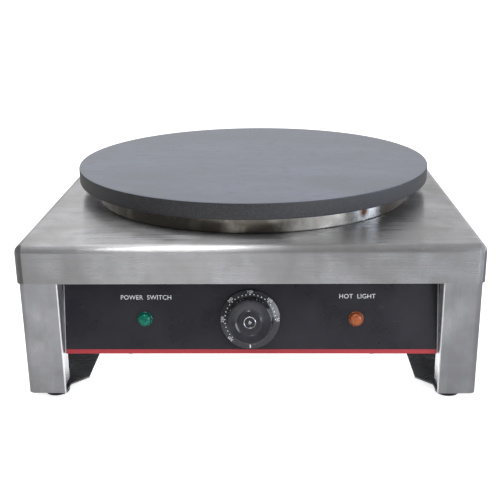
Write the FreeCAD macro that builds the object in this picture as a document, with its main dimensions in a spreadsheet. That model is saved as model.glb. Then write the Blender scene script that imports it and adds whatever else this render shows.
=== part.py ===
import FreeCAD, Part
import math
import os
import re
import Sketcher

# Electric crepe maker: a round cast-iron griddle plate on a square stainless body.
# Millimetres. The origin is on the table under the middle of the plate, +Z is up,
# and the control panel faces -Y.

Vector = FreeCAD.Vector
doc = FreeCAD.newDocument("CrepeMaker")

# Driving dimensions, one cell each.
SIZES = {
    # Body as a whole
    "side_margin": 25.5, "front_margin": 18.5, "body_height": 155, "foot_height": 8,
    # Top cover: one sheet with a bent-down apron all round
    "cover_sheet": 1.5, "cover_clearance": 0.5, "apron_depth": 38,
    "cover_bend": 8, "cover_corner": 8.5, "hole_ledge": 14,
    # Side panels, whose folded ends are the four legs
    "side_sheet": 1.5, "leg_face_width": 38, "leg_return": 18.3,
    "return_lift": 8.5, "rail_width": 55, "rail_chamfer": 16, "top_flange": 22,
    # Front control panel, tilted to face up
    "panel_setback": 9.6, "panel_lift": 40, "panel_tilt": 12.2, "panel_sheet": 1.2,
    "panel_clearance": 0.4, "panel_flange": 14, "overlay_sheet": 0.6,
    "overlay_margin": 1, "overlay_height": 85, "stripe_height": 4.3,
    # Rear panel and base pan
    "rear_setback": 16, "rear_sheet": 1.2, "rear_flange": 14, "pan_sheet": 1.2,
    "pan_upstand": 12, "pan_clearance": 0.3, "seat_gap": 0.3,
    "vent_length": 60, "vent_width": 4, "vent_pitch": 10, "vent_count": 6,
    "vent_offset": 60, "vent_lift": 42,
    # Griddle plate and the ring under it
    "plate_radius": 199.5, "plate_thickness": 17, "plate_gap": 19.5, "plate_chamfer": 1.2,
    "collar_inset": 19.5, "collar_sheet": 1, "collar_foot": 12, "expansion_gap": 0.6,
    # Studs that hold the plate down
    "boss_radius": 11, "boss_height": 8.5, "stud_inset": 46.5, "stud_angle": 30,
    "stud_radius": 4, "stud_engagement": 11, "stud_tail": 10, "thread_clearance": 0.1,
    "nut_width": 13, "nut_height": 5, "sleeve_radius": 7,
    # Heat bowl, insulation and reflector
    "bowl_clearance": 2, "bowl_depth": 23, "bowl_sheet": 0.8, "bowl_rim": 10,
    "insulation_thickness": 16, "reflector_sheet": 0.6, "layer_clearance": 0.6,
    "rim_ledge": 5.5, "rim_screw_count": 6, "rim_screw_radius": 2,
    "rim_head_radius": 2.4, "rim_head_height": 1.8, "rim_nut_width": 6, "rim_nut_height": 3.2,
    # Tubular heating element, a spiral of half turns
    "element_radius": 4, "element_inner_turn": 42, "element_inset": 23,
    "element_half_turns": 6, "element_bend": 14, "element_air": 0.3, "element_tail": 8,
    "bush_radius": 6, "bush_flange_radius": 9, "bush_flange": 5, "bush_neck": 6,
    "tab_width": 6.3, "tab_sheet": 0.8, "tab_length": 9,
    # Clamp under the element
    "clamp_sheet": 2, "clamp_arm": 16, "clamp_hub": 22, "clamp_overhang": 7,
    # Temperature sensor
    "bulb_radius": 3, "bulb_length": 50, "bulb_x": -14, "bulb_air": 0.3,
    "clip_width": 12, "clip_length": 12, "capillary_radius": 1,
    # Thermostat behind the panel
    "control_height": 35, "thermostat_size": 34, "thermostat_depth": 27,
    "spindle_radius": 3, "spindle_fit": 0.06, "spindle_inside": 11, "spindle_length": 15,
    "spindle_flat": 1.4, "shaft_hole": 5, "post_spacing": 26, "post_radius": 2,
    "post_depth": 8, "post_head_radius": 3.4, "post_head": 1.6, "terminal_spacing": 16,
    "terminal_rise": 9,
    # Knob
    "skirt_radius": 29.5, "skirt_gap": 2, "skirt_edge": 1.2, "skirt_rise": 1.6,
    "grip_radius": 22.8, "grip_draft": 0.8, "grip_height": 16, "grip_rim": 2.2,
    "dish_depth": 1.6, "hub_radius": 11.5, "hub_rise": 1.2, "flute_radius": 6,
    "flute_depth": 1.8, "flute_count": 8, "flute_start": 4, "insert_radius": 5.4,
    "insert_length": 11.5, "insert_fit": 0.02, "insert_lift": 1, "bore_relief": 1,
    "flat_start": 2, "grip_edge": 1, "hub_flare": 1.5, "hub_draft": 0.6,
    "badge_radius": 6, "badge_height": 0.9,
    # Pilot lamps
    "lamp_offset": 104, "lens_rim_radius": 8, "lens_rim": 1.4, "lens_radius": 6.6,
    "lens_height": 6.5, "lens_round": 4, "lamp_barrel_radius": 5.2, "lamp_barrel": 24,
    "lamp_fit": 0.3, "clip_radius": 9, "clip_height": 2.2, "pin_width": 2.8,
    "pin_length": 7, "pin_spacing": 5,
    # Mains inlet and terminal block
    "gland_inset": 54.6, "gland_lift": 30, "gland_thread_radius": 10, "gland_hex": 24,
    "gland_flange": 5, "gland_dome": 15, "gland_dome_radius": 10.5, "gland_crown": 4, "gland_lip": 3, "gland_tail": 11,
    "gland_bore": 5, "locknut_height": 5, "gland_fit": 0.2,
    "block_setback": 57, "block_length": 46, "block_width": 18,
    "block_height": 20, "block_pitch": 12, "block_pole_radius": 3, "block_pole_depth": 8,
    "pole_relief": 1,
    "earth_offset": 60, "earth_setback": 52, "earth_head": 2, "earth_radius": 2.5, "earth_length": 16,
    "earth_nut_width": 8, "earth_nut_height": 4,
    # Wiring
    "lead_radius": 1.5, "lead_entry": 6, "lead_exit": 22, "lead_run": 18, "lead_bow": 22,
    "capillary_drop": 14, "capillary_run": 20,
    # Feet
    "foot_radius": 13.5, "foot_toe_radius": 12, "foot_side_inset": 24, "foot_end_inset": 21,
    "foot_recess_radius": 6, "foot_recess": 4.5, "foot_screw_radius": 2.5,
    "foot_head_radius": 4.5, "foot_head": 3, "foot_screw_length": 12,
    "foot_nut_width": 8, "foot_nut_height": 4, "screw_clearance": 0.2,
    # Weld studs and nuts that hold the cover, and screws that hold the base pan
    "weld_stud_radius": 2.5, "weld_stud_length": 9, "weld_stud_inset": 11,
    "weld_stud_row": 140, "weld_nut_width": 8, "weld_nut_height": 4,
    "pan_screw_radius": 2, "pan_screw_length": 8, "pan_head_radius": 3.6,
    "pan_head": 2.2, "pan_screw_row": 120, "pan_screw_inset": 7,
}

# Places worked out from the sizes.
PLACES = {
    "cover_width": "2 * (plate_radius + side_margin)",
    "cover_depth": "2 * (plate_radius + front_margin)",
    "cover_top": "foot_height + body_height",
    "cover_under": "cover_top - cover_sheet",
    "side_outer": "cover_width / 2 - cover_sheet - cover_clearance",
    "side_front": "cover_depth / 2 - cover_sheet - cover_clearance",
    "opening_half": "side_outer - leg_face_width",
    "return_end": "side_front - leg_return",
    "side_corner": "cover_corner - cover_sheet - cover_clearance",
    "side_crown": "cover_bend - cover_sheet + cover_clearance",
    "side_shoulder": "cover_top - cover_bend - cover_clearance",
    "side_cap": "cover_depth / 2 - cover_corner - cover_clearance",
    "rail_inner": "side_outer - rail_width",
    "panel_y": "-cover_depth / 2 + panel_setback",
    "panel_z": "foot_height + panel_lift",
    "panel_slant": "(cover_under - panel_z) / cos(panel_tilt)",
    "panel_half": "opening_half - panel_clearance",
    "control_y": "panel_y + control_height * sin(panel_tilt)",
    "control_z": "panel_z + control_height * cos(panel_tilt)",
    "rear_y": "cover_depth / 2 - rear_setback",
    "pan_z": "panel_z + panel_sheet",
    "pan_top": "pan_z + pan_sheet",
    "plate_under": "cover_top + plate_gap",
    "boss_under": "plate_under - boss_height",
    "stud_circle": "plate_radius - stud_inset",
    "collar_radius": "plate_radius - collar_inset",
    "cover_hole_radius": "collar_radius - hole_ledge",
    "rim_circle": "cover_hole_radius + rim_ledge",
    "bowl_radius": "cover_hole_radius - bowl_clearance",
    "collar_top": "plate_under - expansion_gap",
    "rim_under": "cover_top + collar_sheet",
    "rim_top": "rim_under + bowl_sheet",
    "bowl_inner": "bowl_radius - bowl_sheet",
    "floor_under": "cover_top - bowl_depth",
    "floor_top": "floor_under + bowl_sheet",
    "insulation_top": "floor_top + insulation_thickness",
    "layer_radius": "bowl_inner - layer_clearance",
    "clamp_under": "boss_under - clamp_sheet",
    "clamp_nut_under": "clamp_under - nut_height",
    "element_z": "plate_under - element_air - element_radius",
    "element_out_x": "stud_circle - element_inset",
    "element_step": "(element_out_x - element_inner_turn) / (element_half_turns - 0.5)",
    "element_in_x": "element_inner_turn - element_step / 2",
    "element_end": "floor_under - element_tail",
    "bulb_z": "plate_under - bulb_air - bulb_radius",
    "capillary_drop_y": "-bulb_length / 2 - bulb_length / 4",
    "knob_base": "overlay_sheet + skirt_gap",
    "grip_top": "knob_base + skirt_edge + skirt_rise + grip_height",
    "hub_top": "grip_top - dish_depth + hub_rise",
    "foot_x": "side_outer - foot_side_inset",
    "foot_y": "side_front - foot_end_inset",
    "rail_top": "foot_height + side_sheet",
    "gland_x": "-(panel_half - gland_inset)",
    "gland_z": "panel_z + gland_lift",
    "block_x": "gland_x",
    "block_y": "rear_y - block_setback",
    "earth_x": "gland_x + earth_offset",
    "earth_y": "rear_y - earth_setback",
    "flange_under": "cover_under - side_sheet",
    "stud_row_x": "side_outer - weld_stud_inset",
    "front_stud_y": "panel_y + panel_slant * sin(panel_tilt) + panel_flange / 2",
    "rear_stud_y": "rear_y - rear_flange / 2",
}

sheet = doc.addObject("Spreadsheet::Sheet", "Sizes")
for row, (alias, size) in enumerate(SIZES.items(), start=1):
    sheet.set(f"A{row}", alias)
    sheet.set(f"B{row}", str(size))
    sheet.setAlias(f"B{row}", alias)
doc.recompute()

owners = {alias: "Sizes." for alias in SIZES}
owners.update({alias: "" for alias in PLACES})


def tied(text):
    # Names in a formula become references to the cells that hold them.
    return re.sub(r"[a-z][a-z_0-9]*", lambda word: owners.get(word[0], "") + word[0], text)


places = doc.addObject("Spreadsheet::Sheet", "Places")
for row, (alias, formula) in enumerate(PLACES.items(), start=1):
    places.set(f"A{row}", alias)
    places.setAlias(f"B{row}", alias)
for row, (alias, formula) in enumerate(PLACES.items(), start=1):
    places.set(f"B{row}", "=" + tied(formula))
doc.recompute()
owners.update({alias: "Places." for alias in PLACES})


def value(text):
    result = sheet.evalExpression(tied(text))
    return float(getattr(result, "Value", result))


def bind(thing, path, text):
    thing.setExpression(path, tied(text))


# Placing

def place(thing, x="0", y="0", z="0"):
    for axis, text in zip("xyz", (x, y, z)):
        bind(thing, f"Placement.Base.{axis}", text)
    return thing


def turn(thing, axis, angle):
    # The angle is in degrees about the given axis.
    thing.Placement.Rotation = FreeCAD.Rotation(Vector(*axis), value(angle))
    bind(thing, "Placement.Rotation.Angle", angle)
    return thing


def on_panel(thing, x="0", rise="0"):
    # Local Z points out of the tilted panel and local Y runs up it.
    turn(thing, (1, 0, 0), "90 - panel_tilt")
    place(thing, x, f"panel_y + ({rise}) * sin(panel_tilt)", f"panel_z + ({rise}) * cos(panel_tilt)")
    return thing


# Sketching and features

def new_body(label):
    body = doc.addObject("PartDesign::Body", label + "_body")
    body.Label = label
    return body


def sketch(body, role="XY_Plane", offset=None):
    drawing = body.newObject("Sketcher::SketchObject", body.Label + "_sketch")
    plane = next(item for item in body.Origin.OriginFeatures if item.Role == role)
    drawing.AttachmentSupport = [(plane, "")]
    drawing.MapMode = "FlatFace"
    if offset is not None:
        bind(drawing, "AttachmentOffset.Base.z", offset)
    return drawing


def pin_point(drawing, geometry, position, x, y):
    for kind, text in (("DistanceX", x), ("DistanceY", y)):
        rule = Sketcher.Constraint(kind, -1, 1, geometry, position, value(text))
        index = drawing.addConstraint(rule)
        bind(drawing, f"Constraints[{index}]", text)


def outline(drawing, points):
    # A closed outline of straight lines through points given as formulas.
    corners = [Vector(value(x), value(y), 0) for x, y in points]
    count = len(corners)
    lines = []
    for index in range(count):
        line = Part.LineSegment(corners[index], corners[(index + 1) % count])
        lines.append(drawing.addGeometry(line, False))
    for index in range(count):
        following = lines[(index + 1) % count]
        drawing.addConstraint(Sketcher.Constraint("Coincident", lines[index], 2, following, 1))
    for line, (x, y) in zip(lines, points):
        pin_point(drawing, line, 1, x, y)
    return drawing


def rectangle(drawing, x0, x1, y0, y1):
    return outline(drawing, [(x0, y0), (x1, y0), (x1, y1), (x0, y1)])


def circle(drawing, x, y, radius):
    shape = Part.Circle(Vector(value(x), value(y), 0), Vector(0, 0, 1), value(radius))
    index = drawing.addGeometry(shape, False)
    pin_point(drawing, index, 3, x, y)
    rule = drawing.addConstraint(Sketcher.Constraint("Radius", index, value(radius)))
    bind(drawing, f"Constraints[{rule}]", radius)
    return drawing


def hexagon(drawing, width):
    # Across flats, with flats facing +X and -X.
    reach = f"({width}) / sqrt(3)"
    half = f"({width}) / 2"
    points = [(half, f"{reach} / 2"), ("0", reach), (f"-{half}", f"{reach} / 2"),
              (f"-{half}", f"-{reach} / 2"), ("0", f"-{reach}"), (half, f"-{reach} / 2")]
    return outline(drawing, points)


def pad(body, drawing, length, down=False):
    feature = body.newObject("PartDesign::Pad", body.Label + "_pad")
    feature.Profile = drawing
    bind(feature, "Length", length)
    feature.Reversed = down
    return feature


def pocket(body, drawing, depth, towards_normal=False):
    doc.recompute()
    before = body.Shape.Volume
    feature = body.newObject("PartDesign::Pocket", body.Label + "_pocket")
    feature.Profile = drawing
    bind(feature, "Length", depth)
    feature.Reversed = towards_normal
    doc.recompute()
    if not body.Shape.Volume < before - 0.001:
        raise ValueError(f"a pocket in {body.Label} cuts nothing")
    return feature


def revolve(body, points):
    # A profile of (radius, height) points turned about local Z.
    drawing = outline(sketch(body, "XZ_Plane"), points)
    feature = body.newObject("PartDesign::Revolution", body.Label + "_turn")
    feature.Profile = drawing
    feature.ReferenceAxis = (drawing, ["V_Axis"])
    feature.Angle = 360
    return feature


def round_edges(body, radius, wanted, kind="Fillet"):
    doc.recompute()
    base = body.Tip
    names = [f"Edge{n}" for n, edge in enumerate(base.Shape.Edges, start=1) if wanted(edge)]
    if not names:
        raise ValueError(f"no edge of {body.Label} to round")
    feature = body.newObject(f"PartDesign::{kind}", f"{body.Label}_{kind.lower()}")
    feature.Base = (base, names)
    bind(feature, "Radius" if kind == "Fillet" else "Size", radius)
    return feature


def hollow(body, sheet_thickness, open_level):
    # Leaves a shell of the given thickness, open at the flat face at that level.
    doc.recompute()
    base = body.Tip
    names = [f"Face{n}" for n, face in enumerate(base.Shape.Faces, start=1)
             if near(face.BoundBox.ZMin, open_level) and face.BoundBox.ZLength < 0.01]
    feature = body.newObject("PartDesign::Thickness", body.Label + "_shell")
    feature.Base = (base, names)
    feature.Reversed = True
    bind(feature, "Value", sheet_thickness)
    return feature


def ring_pattern(body, feature, count):
    doc.recompute()
    pattern = body.newObject("PartDesign::PolarPattern", body.Label + "_ring")
    pattern.Originals = [feature]
    axis = next(item for item in body.Origin.OriginFeatures if item.Role == "Z_Axis")
    pattern.Axis = (axis, [""])
    pattern.Angle = 360
    bind(pattern, "Occurrences", count)
    body.Tip = pattern
    return pattern


def row_pattern(body, feature, drawing, axis, length, count):
    doc.recompute()
    pattern = body.newObject("PartDesign::LinearPattern", body.Label + "_row")
    pattern.Originals = [feature]
    pattern.Direction = (drawing, [axis])
    bind(pattern, "Length", length)
    bind(pattern, "Occurrences", count)
    body.Tip = pattern
    return pattern


# Edge tests

def near(a, b):
    return abs(a - b) < 0.05


def upright_at(x, y):
    # Straight vertical edges whose distance from both middle planes is as given.
    def test(edge):
        box = edge.BoundBox
        slim = box.XLength < 0.01 and box.YLength < 0.01
        return slim and near(abs(box.Center.x), value(x)) and near(abs(box.Center.y), value(y))
    return test


def lengthwise_at(x, z):
    # Straight front-to-back edges at a distance from the middle plane and a height
    def test(edge):
        box = edge.BoundBox
        slim = box.XLength < 0.01 and box.ZLength < 0.01
        return slim and near(abs(box.Center.x), value(x)) and near(box.Center.z, value(z))
    return test


def level_at(z):
    def test(edge):
        return edge.BoundBox.ZLength < 0.01 and near(edge.BoundBox.ZMin, value(z))
    return test


# Groups of equal pieces

def group(label, master, spots, panel=False):
    links = []
    for index, spot in enumerate(spots, start=1):
        link = doc.addObject("App::Link", f"{label}_{index}")
        link.LinkedObject = master
        if panel:
            on_panel(link, *spot)
        else:
            place(link, *spot)
        links.append(link)
    bunch = doc.addObject("Part::Compound", label + "_group")
    bunch.Links = links
    bunch.Label = label
    return bunch


def ring_spots(radius, start, step, count, z):
    return [(f"({radius}) * cos({start} + {k} * {step})",
             f"({radius}) * sin({start} + {k} * {step})", z) for k in range(count)]


def cylinder(label, radius, height):
    solid = doc.addObject("Part::Cylinder", label + "_cylinder")
    solid.Label = label
    bind(solid, "Radius", radius)
    bind(solid, "Height", height)
    return solid


def block(label, length, width, height):
    solid = doc.addObject("Part::Box", label + "_box")
    solid.Label = label
    bind(solid, "Length", length)
    bind(solid, "Width", width)
    bind(solid, "Height", height)
    return solid


def boolean(kind, label, base, tool):
    result = doc.addObject(f"Part::{kind}", f"{label}_{kind.lower()}")
    result.Base = base
    result.Tool = tool
    result.Label = label
    return result


STUDS = ring_spots("stud_circle", "stud_angle", "120", 3, "0")
finished = []


def keep(thing):
    finished.append(thing)
    return thing


def keep_at(thing, x="0", y="0", z="0"):
    return keep(place(thing, x, y, z))


# Top cover

def make_cover():
    body = new_body("top_cover")
    half_x, half_y = "cover_width / 2", "cover_depth / 2"
    lower = "cover_top - apron_depth"
    drawing = rectangle(sketch(body, offset=lower), f"-{half_x}", half_x, f"-{half_y}", half_y)
    pad(body, drawing, "apron_depth")
    round_edges(body, "cover_corner", upright_at(half_x, half_y))
    round_edges(body, "cover_bend", level_at("cover_top"))
    hollow(body, "cover_sheet", value(lower))
    drawing = circle(sketch(body, offset="cover_top"), "0", "0", "cover_hole_radius")
    pocket(body, drawing, "2 * cover_sheet")
    drill_rim(body, "cover_top", "2 * cover_sheet")
    keep(body)


def drill_rim(body, top, depth):
    # Clearance holes for the screws that hold the bowl and the collar to the cover.
    drawing = sketch(body, offset=top)
    circle(drawing, "rim_circle", "0", "rim_screw_radius + screw_clearance")
    ring_pattern(body, pocket(body, drawing, depth), "rim_screw_count")


# Side panels

def make_side(label, side):
    body = new_body(label)
    outer, front = f"{side} * side_outer", "side_front"
    inner = f"{side} * (side_outer - side_sheet)"
    edge, lip = f"{side} * opening_half", f"{side} * (opening_half + side_sheet)"
    fold, end = "side_front - side_sheet", "return_end"
    half = [(outer, front), (edge, front), (edge, end), (lip, end), (lip, fold), (inner, fold)]
    other = [(x, f"-({y})") for x, y in reversed(half)]
    pad(body, outline(sketch(body, offset="foot_height"), half + other), "side_shoulder - foot_height")
    round_edges(body, "side_corner", upright_at("side_outer", "side_front"))
    round_edges(body, "side_corner - side_sheet", upright_at("side_outer - side_sheet", fold))
    # The return flanges stop short of the floor.
    for sign in ("", "-"):
        drawing = sketch(body, offset="foot_height")
        reach = sorted((f"{sign}({end} - 1)", f"{sign}({fold})"), key=value)
        rectangle(drawing, *sorted((edge, lip), key=value), *reach)
        pocket(body, drawing, "return_lift", towards_normal=True)
    # Bottom flange, whose front and rear corners are cut off beside the legs
    corner = f"{side} * (rail_inner + rail_chamfer)"
    half = [(inner, fold), (edge, fold), (corner, end), (f"{side} * rail_inner", f"{end} - rail_chamfer")]
    other = [(x, f"-({y})") for x, y in reversed(half)]
    pad(body, outline(sketch(body, offset="foot_height"), half + other), "side_sheet")
    # The wall's top folds over into a flange that lies under the cover.
    top = f"{side} * (side_outer - top_flange)"
    low = "side_shoulder - side_sheet"
    profile = [(outer, low), (outer, "cover_under"), (top, "cover_under"), (top, "flange_under"),
               (inner, "flange_under"), (inner, low)]
    feature = pad(body, outline(sketch(body, "XZ_Plane"), profile), "2 * side_cap")
    feature.Midplane = True
    round_edges(body, "side_crown", lengthwise_at("side_outer", "cover_under"))
    round_edges(body, "side_crown - side_sheet", lengthwise_at("side_outer - side_sheet", "flange_under"))
    drawing = sketch(body, offset="cover_under")
    for k in (-1, 0, 1):
        spot = (f"{side} * stud_row_x", f"{k} * weld_stud_row")
        circle(drawing, *spot, "weld_stud_radius + screw_clearance")
    pocket(body, drawing, "2 * side_sheet")
    drawing = sketch(body, offset="foot_height")
    for sign in ("", "-"):
        circle(drawing, f"{side} * foot_x", f"{sign}foot_y", "foot_screw_radius + screw_clearance")
    pocket(body, drawing, "2 * side_sheet", towards_normal=True)
    keep(body)


# Front panel, its printed face and its stripe, in panel coordinates

def make_front_panel():
    body = new_body("front_panel")
    # A flange that is level runs back and up in panel coordinates.
    slope_y, slope_z = "panel_flange * sin(panel_tilt)", "panel_flange * cos(panel_tilt)"
    rise_y, rise_z = "panel_sheet * cos(panel_tilt)", "panel_sheet * sin(panel_tilt)"
    low_in = "panel_sheet * (1 + sin(panel_tilt)) / cos(panel_tilt)"
    high_in = "panel_sheet * (1 - sin(panel_tilt)) / cos(panel_tilt)"
    profile = [
        ("0", "0"), ("panel_slant", "0"), (f"panel_slant + {slope_y}", f"-({slope_z})"),
        (f"panel_slant + {slope_y} - {rise_y}", f"-({slope_z}) - {rise_z}"),
        (f"panel_slant + {high_in} * sin(panel_tilt) - {rise_y}", "-panel_sheet"),
        (f"{low_in} * sin(panel_tilt) + {rise_y}", "-panel_sheet"),
        (f"{slope_y} + {rise_y}", f"-({slope_z}) + {rise_z}"), (slope_y, f"-({slope_z})"),
    ]
    drawing = outline(sketch(body, "YZ_Plane"), profile)
    feature = pad(body, drawing, "2 * panel_half")
    feature.Midplane = True
    drawing = sketch(body)
    drill_controls(drawing, "lamp_barrel_radius + lamp_fit", "post_radius + screw_clearance")
    pocket(body, drawing, "2 * panel_sheet")
    pierce_flange(body)
    keep(on_panel(body))


def drill_controls(drawing, lamp_hole, post_hole):
    circle(drawing, "0", "control_height", "shaft_hole")
    for sign in ("", "-"):
        circle(drawing, f"{sign}lamp_offset", "control_height", lamp_hole)
        circle(drawing, f"{sign}post_spacing / 2", "control_height", post_hole)


def pierce_flange(body):
    # Holes through the level flanges, drilled square to them near enough at this tilt
    for rise, depth, radius, spacing, ahead in (
            ("0", "panel_flange - pan_screw_inset", "pan_screw_radius", "pan_screw_row", "-"),
            ("panel_slant", "panel_flange / 2", "weld_stud_radius", "weld_stud_row", "")):
        along = f"({depth}) * cos(panel_tilt)"
        drawing = sketch(body, "XZ_Plane", f"-({rise})")
        shift = f"-({along})"
        for sign in ("", "-"):
            circle(drawing, f"{sign}{spacing}", shift, f"{radius} + 3 * screw_clearance")
        cut = pocket(body, drawing, "panel_flange")
        cut.Midplane = True


def make_overlay():
    body = new_body("panel_overlay")
    half = "panel_half - overlay_margin"
    drawing = rectangle(sketch(body), f"-({half})", half, "stripe_height", "overlay_height")
    drill_controls(drawing, "lamp_barrel_radius + lamp_fit", "post_head_radius + lamp_fit")
    pad(body, drawing, "overlay_sheet")
    keep(on_panel(body))
    body = new_body("red_stripe")
    pad(body, rectangle(sketch(body), f"-({half})", half, "0", "stripe_height"), "overlay_sheet")
    keep(on_panel(body))


# Rear panel and base pan

def make_rear_panel():
    body = new_body("rear_panel")
    near_y, far_y = "rear_y - rear_sheet", "rear_y"
    tip = "rear_y - rear_flange"
    low, high = "panel_z", "cover_under"
    profile = [
        (far_y, low), (far_y, high), (tip, high), (tip, f"{high} - rear_sheet"),
        (near_y, f"{high} - rear_sheet"), (near_y, f"{low} + rear_sheet"),
        (tip, f"{low} + rear_sheet"), (tip, low),
    ]
    feature = pad(body, outline(sketch(body, "YZ_Plane"), profile), "2 * panel_half")
    feature.Midplane = True
    drawing = sketch(body, "XZ_Plane", "-rear_y")
    circle(drawing, "gland_x", "gland_z", "gland_thread_radius + gland_fit")
    pocket(body, drawing, "2 * rear_sheet", towards_normal=True)
    low = "panel_z + vent_lift"
    for sign in (1, -1):
        drawing = sketch(body, "XZ_Plane", "-rear_y")
        sides = sorted((f"{sign} * vent_offset", f"{sign} * (vent_offset + vent_length)"), key=value)
        rectangle(drawing, *sides, low, f"{low} + vent_width")
        cut = pocket(body, drawing, "2 * rear_sheet", towards_normal=True)
        row_pattern(body, cut, drawing, "V_Axis", "(vent_count - 1) * vent_pitch", "vent_count")
    drawing = sketch(body, offset="cover_under")
    for sign in ("", "-"):
        circle(drawing, f"{sign}weld_stud_row", "rear_stud_y", "weld_stud_radius + screw_clearance")
    pocket(body, drawing, "2 * rear_sheet")
    drawing = sketch(body, offset="panel_z")
    for sign in ("", "-"):
        spot = (f"{sign}pan_screw_row", "rear_y - rear_flange + pan_screw_inset")
        circle(drawing, *spot, "pan_screw_radius + screw_clearance")
    pocket(body, drawing, "2 * rear_sheet", towards_normal=True)
    keep(body)


def make_pan():
    body = new_body("base_pan")
    wide = "side_outer - side_sheet - pan_clearance"
    narrow = "panel_half - pan_clearance"
    front = "panel_y + 2 * panel_sheet"
    rear = "rear_y - rear_sheet - pan_clearance"
    # The pan narrows to pass between the return flanges of the legs.
    front_leg = f"max(-return_end; {front}) + 2 * pan_clearance"
    rear_leg = f"min(return_end; {rear}) - 2 * pan_clearance"
    half = [(narrow, rear), (narrow, rear_leg), (wide, rear_leg), (wide, front_leg),
            (narrow, front_leg), (narrow, front)]
    other = [(f"-({x})", y) for x, y in reversed(half)]
    pad(body, outline(sketch(body, offset="pan_z"), half + other), "pan_sheet")
    for sign in (1, -1):
        sides = sorted((f"{sign} * ({wide})", f"{sign} * ({wide} - pan_sheet)"), key=value)
        drawing = rectangle(sketch(body, offset="pan_z"), *sides, front_leg, rear_leg)
        pad(body, drawing, "pan_upstand")
    for sign in (1, -1):
        drawing = sketch(body, offset="pan_top")
        sides = sorted((f"{sign} * vent_offset", f"{sign} * (vent_offset + vent_length)"), key=value)
        rectangle(drawing, *sides, "0", "vent_width")
        cut = pocket(body, drawing, "2 * pan_sheet")
        row_pattern(body, cut, drawing, "V_Axis", "(vent_count - 1) * vent_pitch", "vent_count")
    drawing = sketch(body, offset="pan_top")
    for sign in ("", "-"):
        for y in ("rear_y - rear_flange + pan_screw_inset", "panel_y + panel_flange - pan_screw_inset"):
            circle(drawing, f"{sign}pan_screw_row", y, "pan_screw_radius + screw_clearance")
    circle(drawing, "earth_x", "earth_y", "earth_radius + screw_clearance")
    pocket(body, drawing, "2 * pan_sheet")
    keep(body)


# Griddle plate, its studs and the parts stacked on them

def make_plate():
    body = new_body("griddle_plate")
    pad(body, circle(sketch(body, offset="plate_under"), "0", "0", "plate_radius"), "plate_thickness")
    rim = "plate_under + plate_thickness"
    round_edges(body, "plate_chamfer", level_at(rim), "Chamfer")
    x, y, _ = STUDS[0]
    drawing = circle(sketch(body, offset="plate_under"), x, y, "boss_radius")
    ring_pattern(body, pad(body, drawing, "boss_height", down=True), "3")
    drawing = circle(sketch(body, offset="boss_under"), x, y, "stud_radius + thread_clearance")
    cut = pocket(body, drawing, "stud_engagement + thread_clearance", towards_normal=True)
    ring_pattern(body, cut, "3")
    keep(body)


def nut(label, width, height, hole):
    body = new_body(label)
    drawing = circle(hexagon(sketch(body), width), "0", "0", hole)
    pad(body, drawing, height)
    return body


def at_height(spots, z):
    return [(x, y, z) for x, y, _ in spots]


def make_studs():
    length = "boss_under + stud_engagement - floor_under + stud_tail"
    stud = cylinder("stud_master", "stud_radius", length)
    keep(group("plate_studs", stud, at_height(STUDS, "floor_under - stud_tail")))
    master = nut("stud_nut_master", "nut_width", "nut_height", "stud_radius + thread_clearance")
    keep(group("clamp_nuts", master, at_height(STUDS, "clamp_nut_under")))
    keep(group("stud_nuts", master, at_height(STUDS, "floor_under - nut_height")))
    sleeve = new_body("sleeve_master")
    drawing = circle(sketch(sleeve), "0", "0", "sleeve_radius")
    circle(drawing, "0", "0", "stud_radius + thread_clearance")
    pad(sleeve, drawing, "clamp_nut_under - floor_top")
    keep(group("spacer_sleeves", sleeve, at_height(STUDS, "floor_top")))


def make_clamp():
    body = new_body("element_clamp")
    pad(body, circle(sketch(body, offset="clamp_under"), "0", "0", "clamp_hub"), "clamp_sheet")
    drawing = sketch(body, offset="clamp_under")
    tip = "-(stud_circle + clamp_overhang)"
    rectangle(drawing, "-clamp_arm / 2", "clamp_arm / 2", tip, "0")
    ring_pattern(body, pad(body, drawing, "clamp_sheet"), "3")
    x, y, _ = STUDS[0]
    drawing = circle(sketch(body, offset="boss_under"), x, y, "stud_radius + screw_clearance")
    ring_pattern(body, pocket(body, drawing, "2 * clamp_sheet"), "3")
    keep(body)


# Bowl, insulation, reflector and collar

def drill_floor(body, top, depth, stud_hole, end_hole):
    drawing = sketch(body, offset=top)
    for x, y, _ in STUDS:
        circle(drawing, x, y, stud_hole)
    circle(drawing, "element_in_x", "-element_bend", end_hole)
    circle(drawing, "element_out_x", "element_bend", end_hole)
    circle(drawing, "bulb_x", "capillary_drop_y", "3 * capillary_radius")
    pocket(body, drawing, depth)


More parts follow.
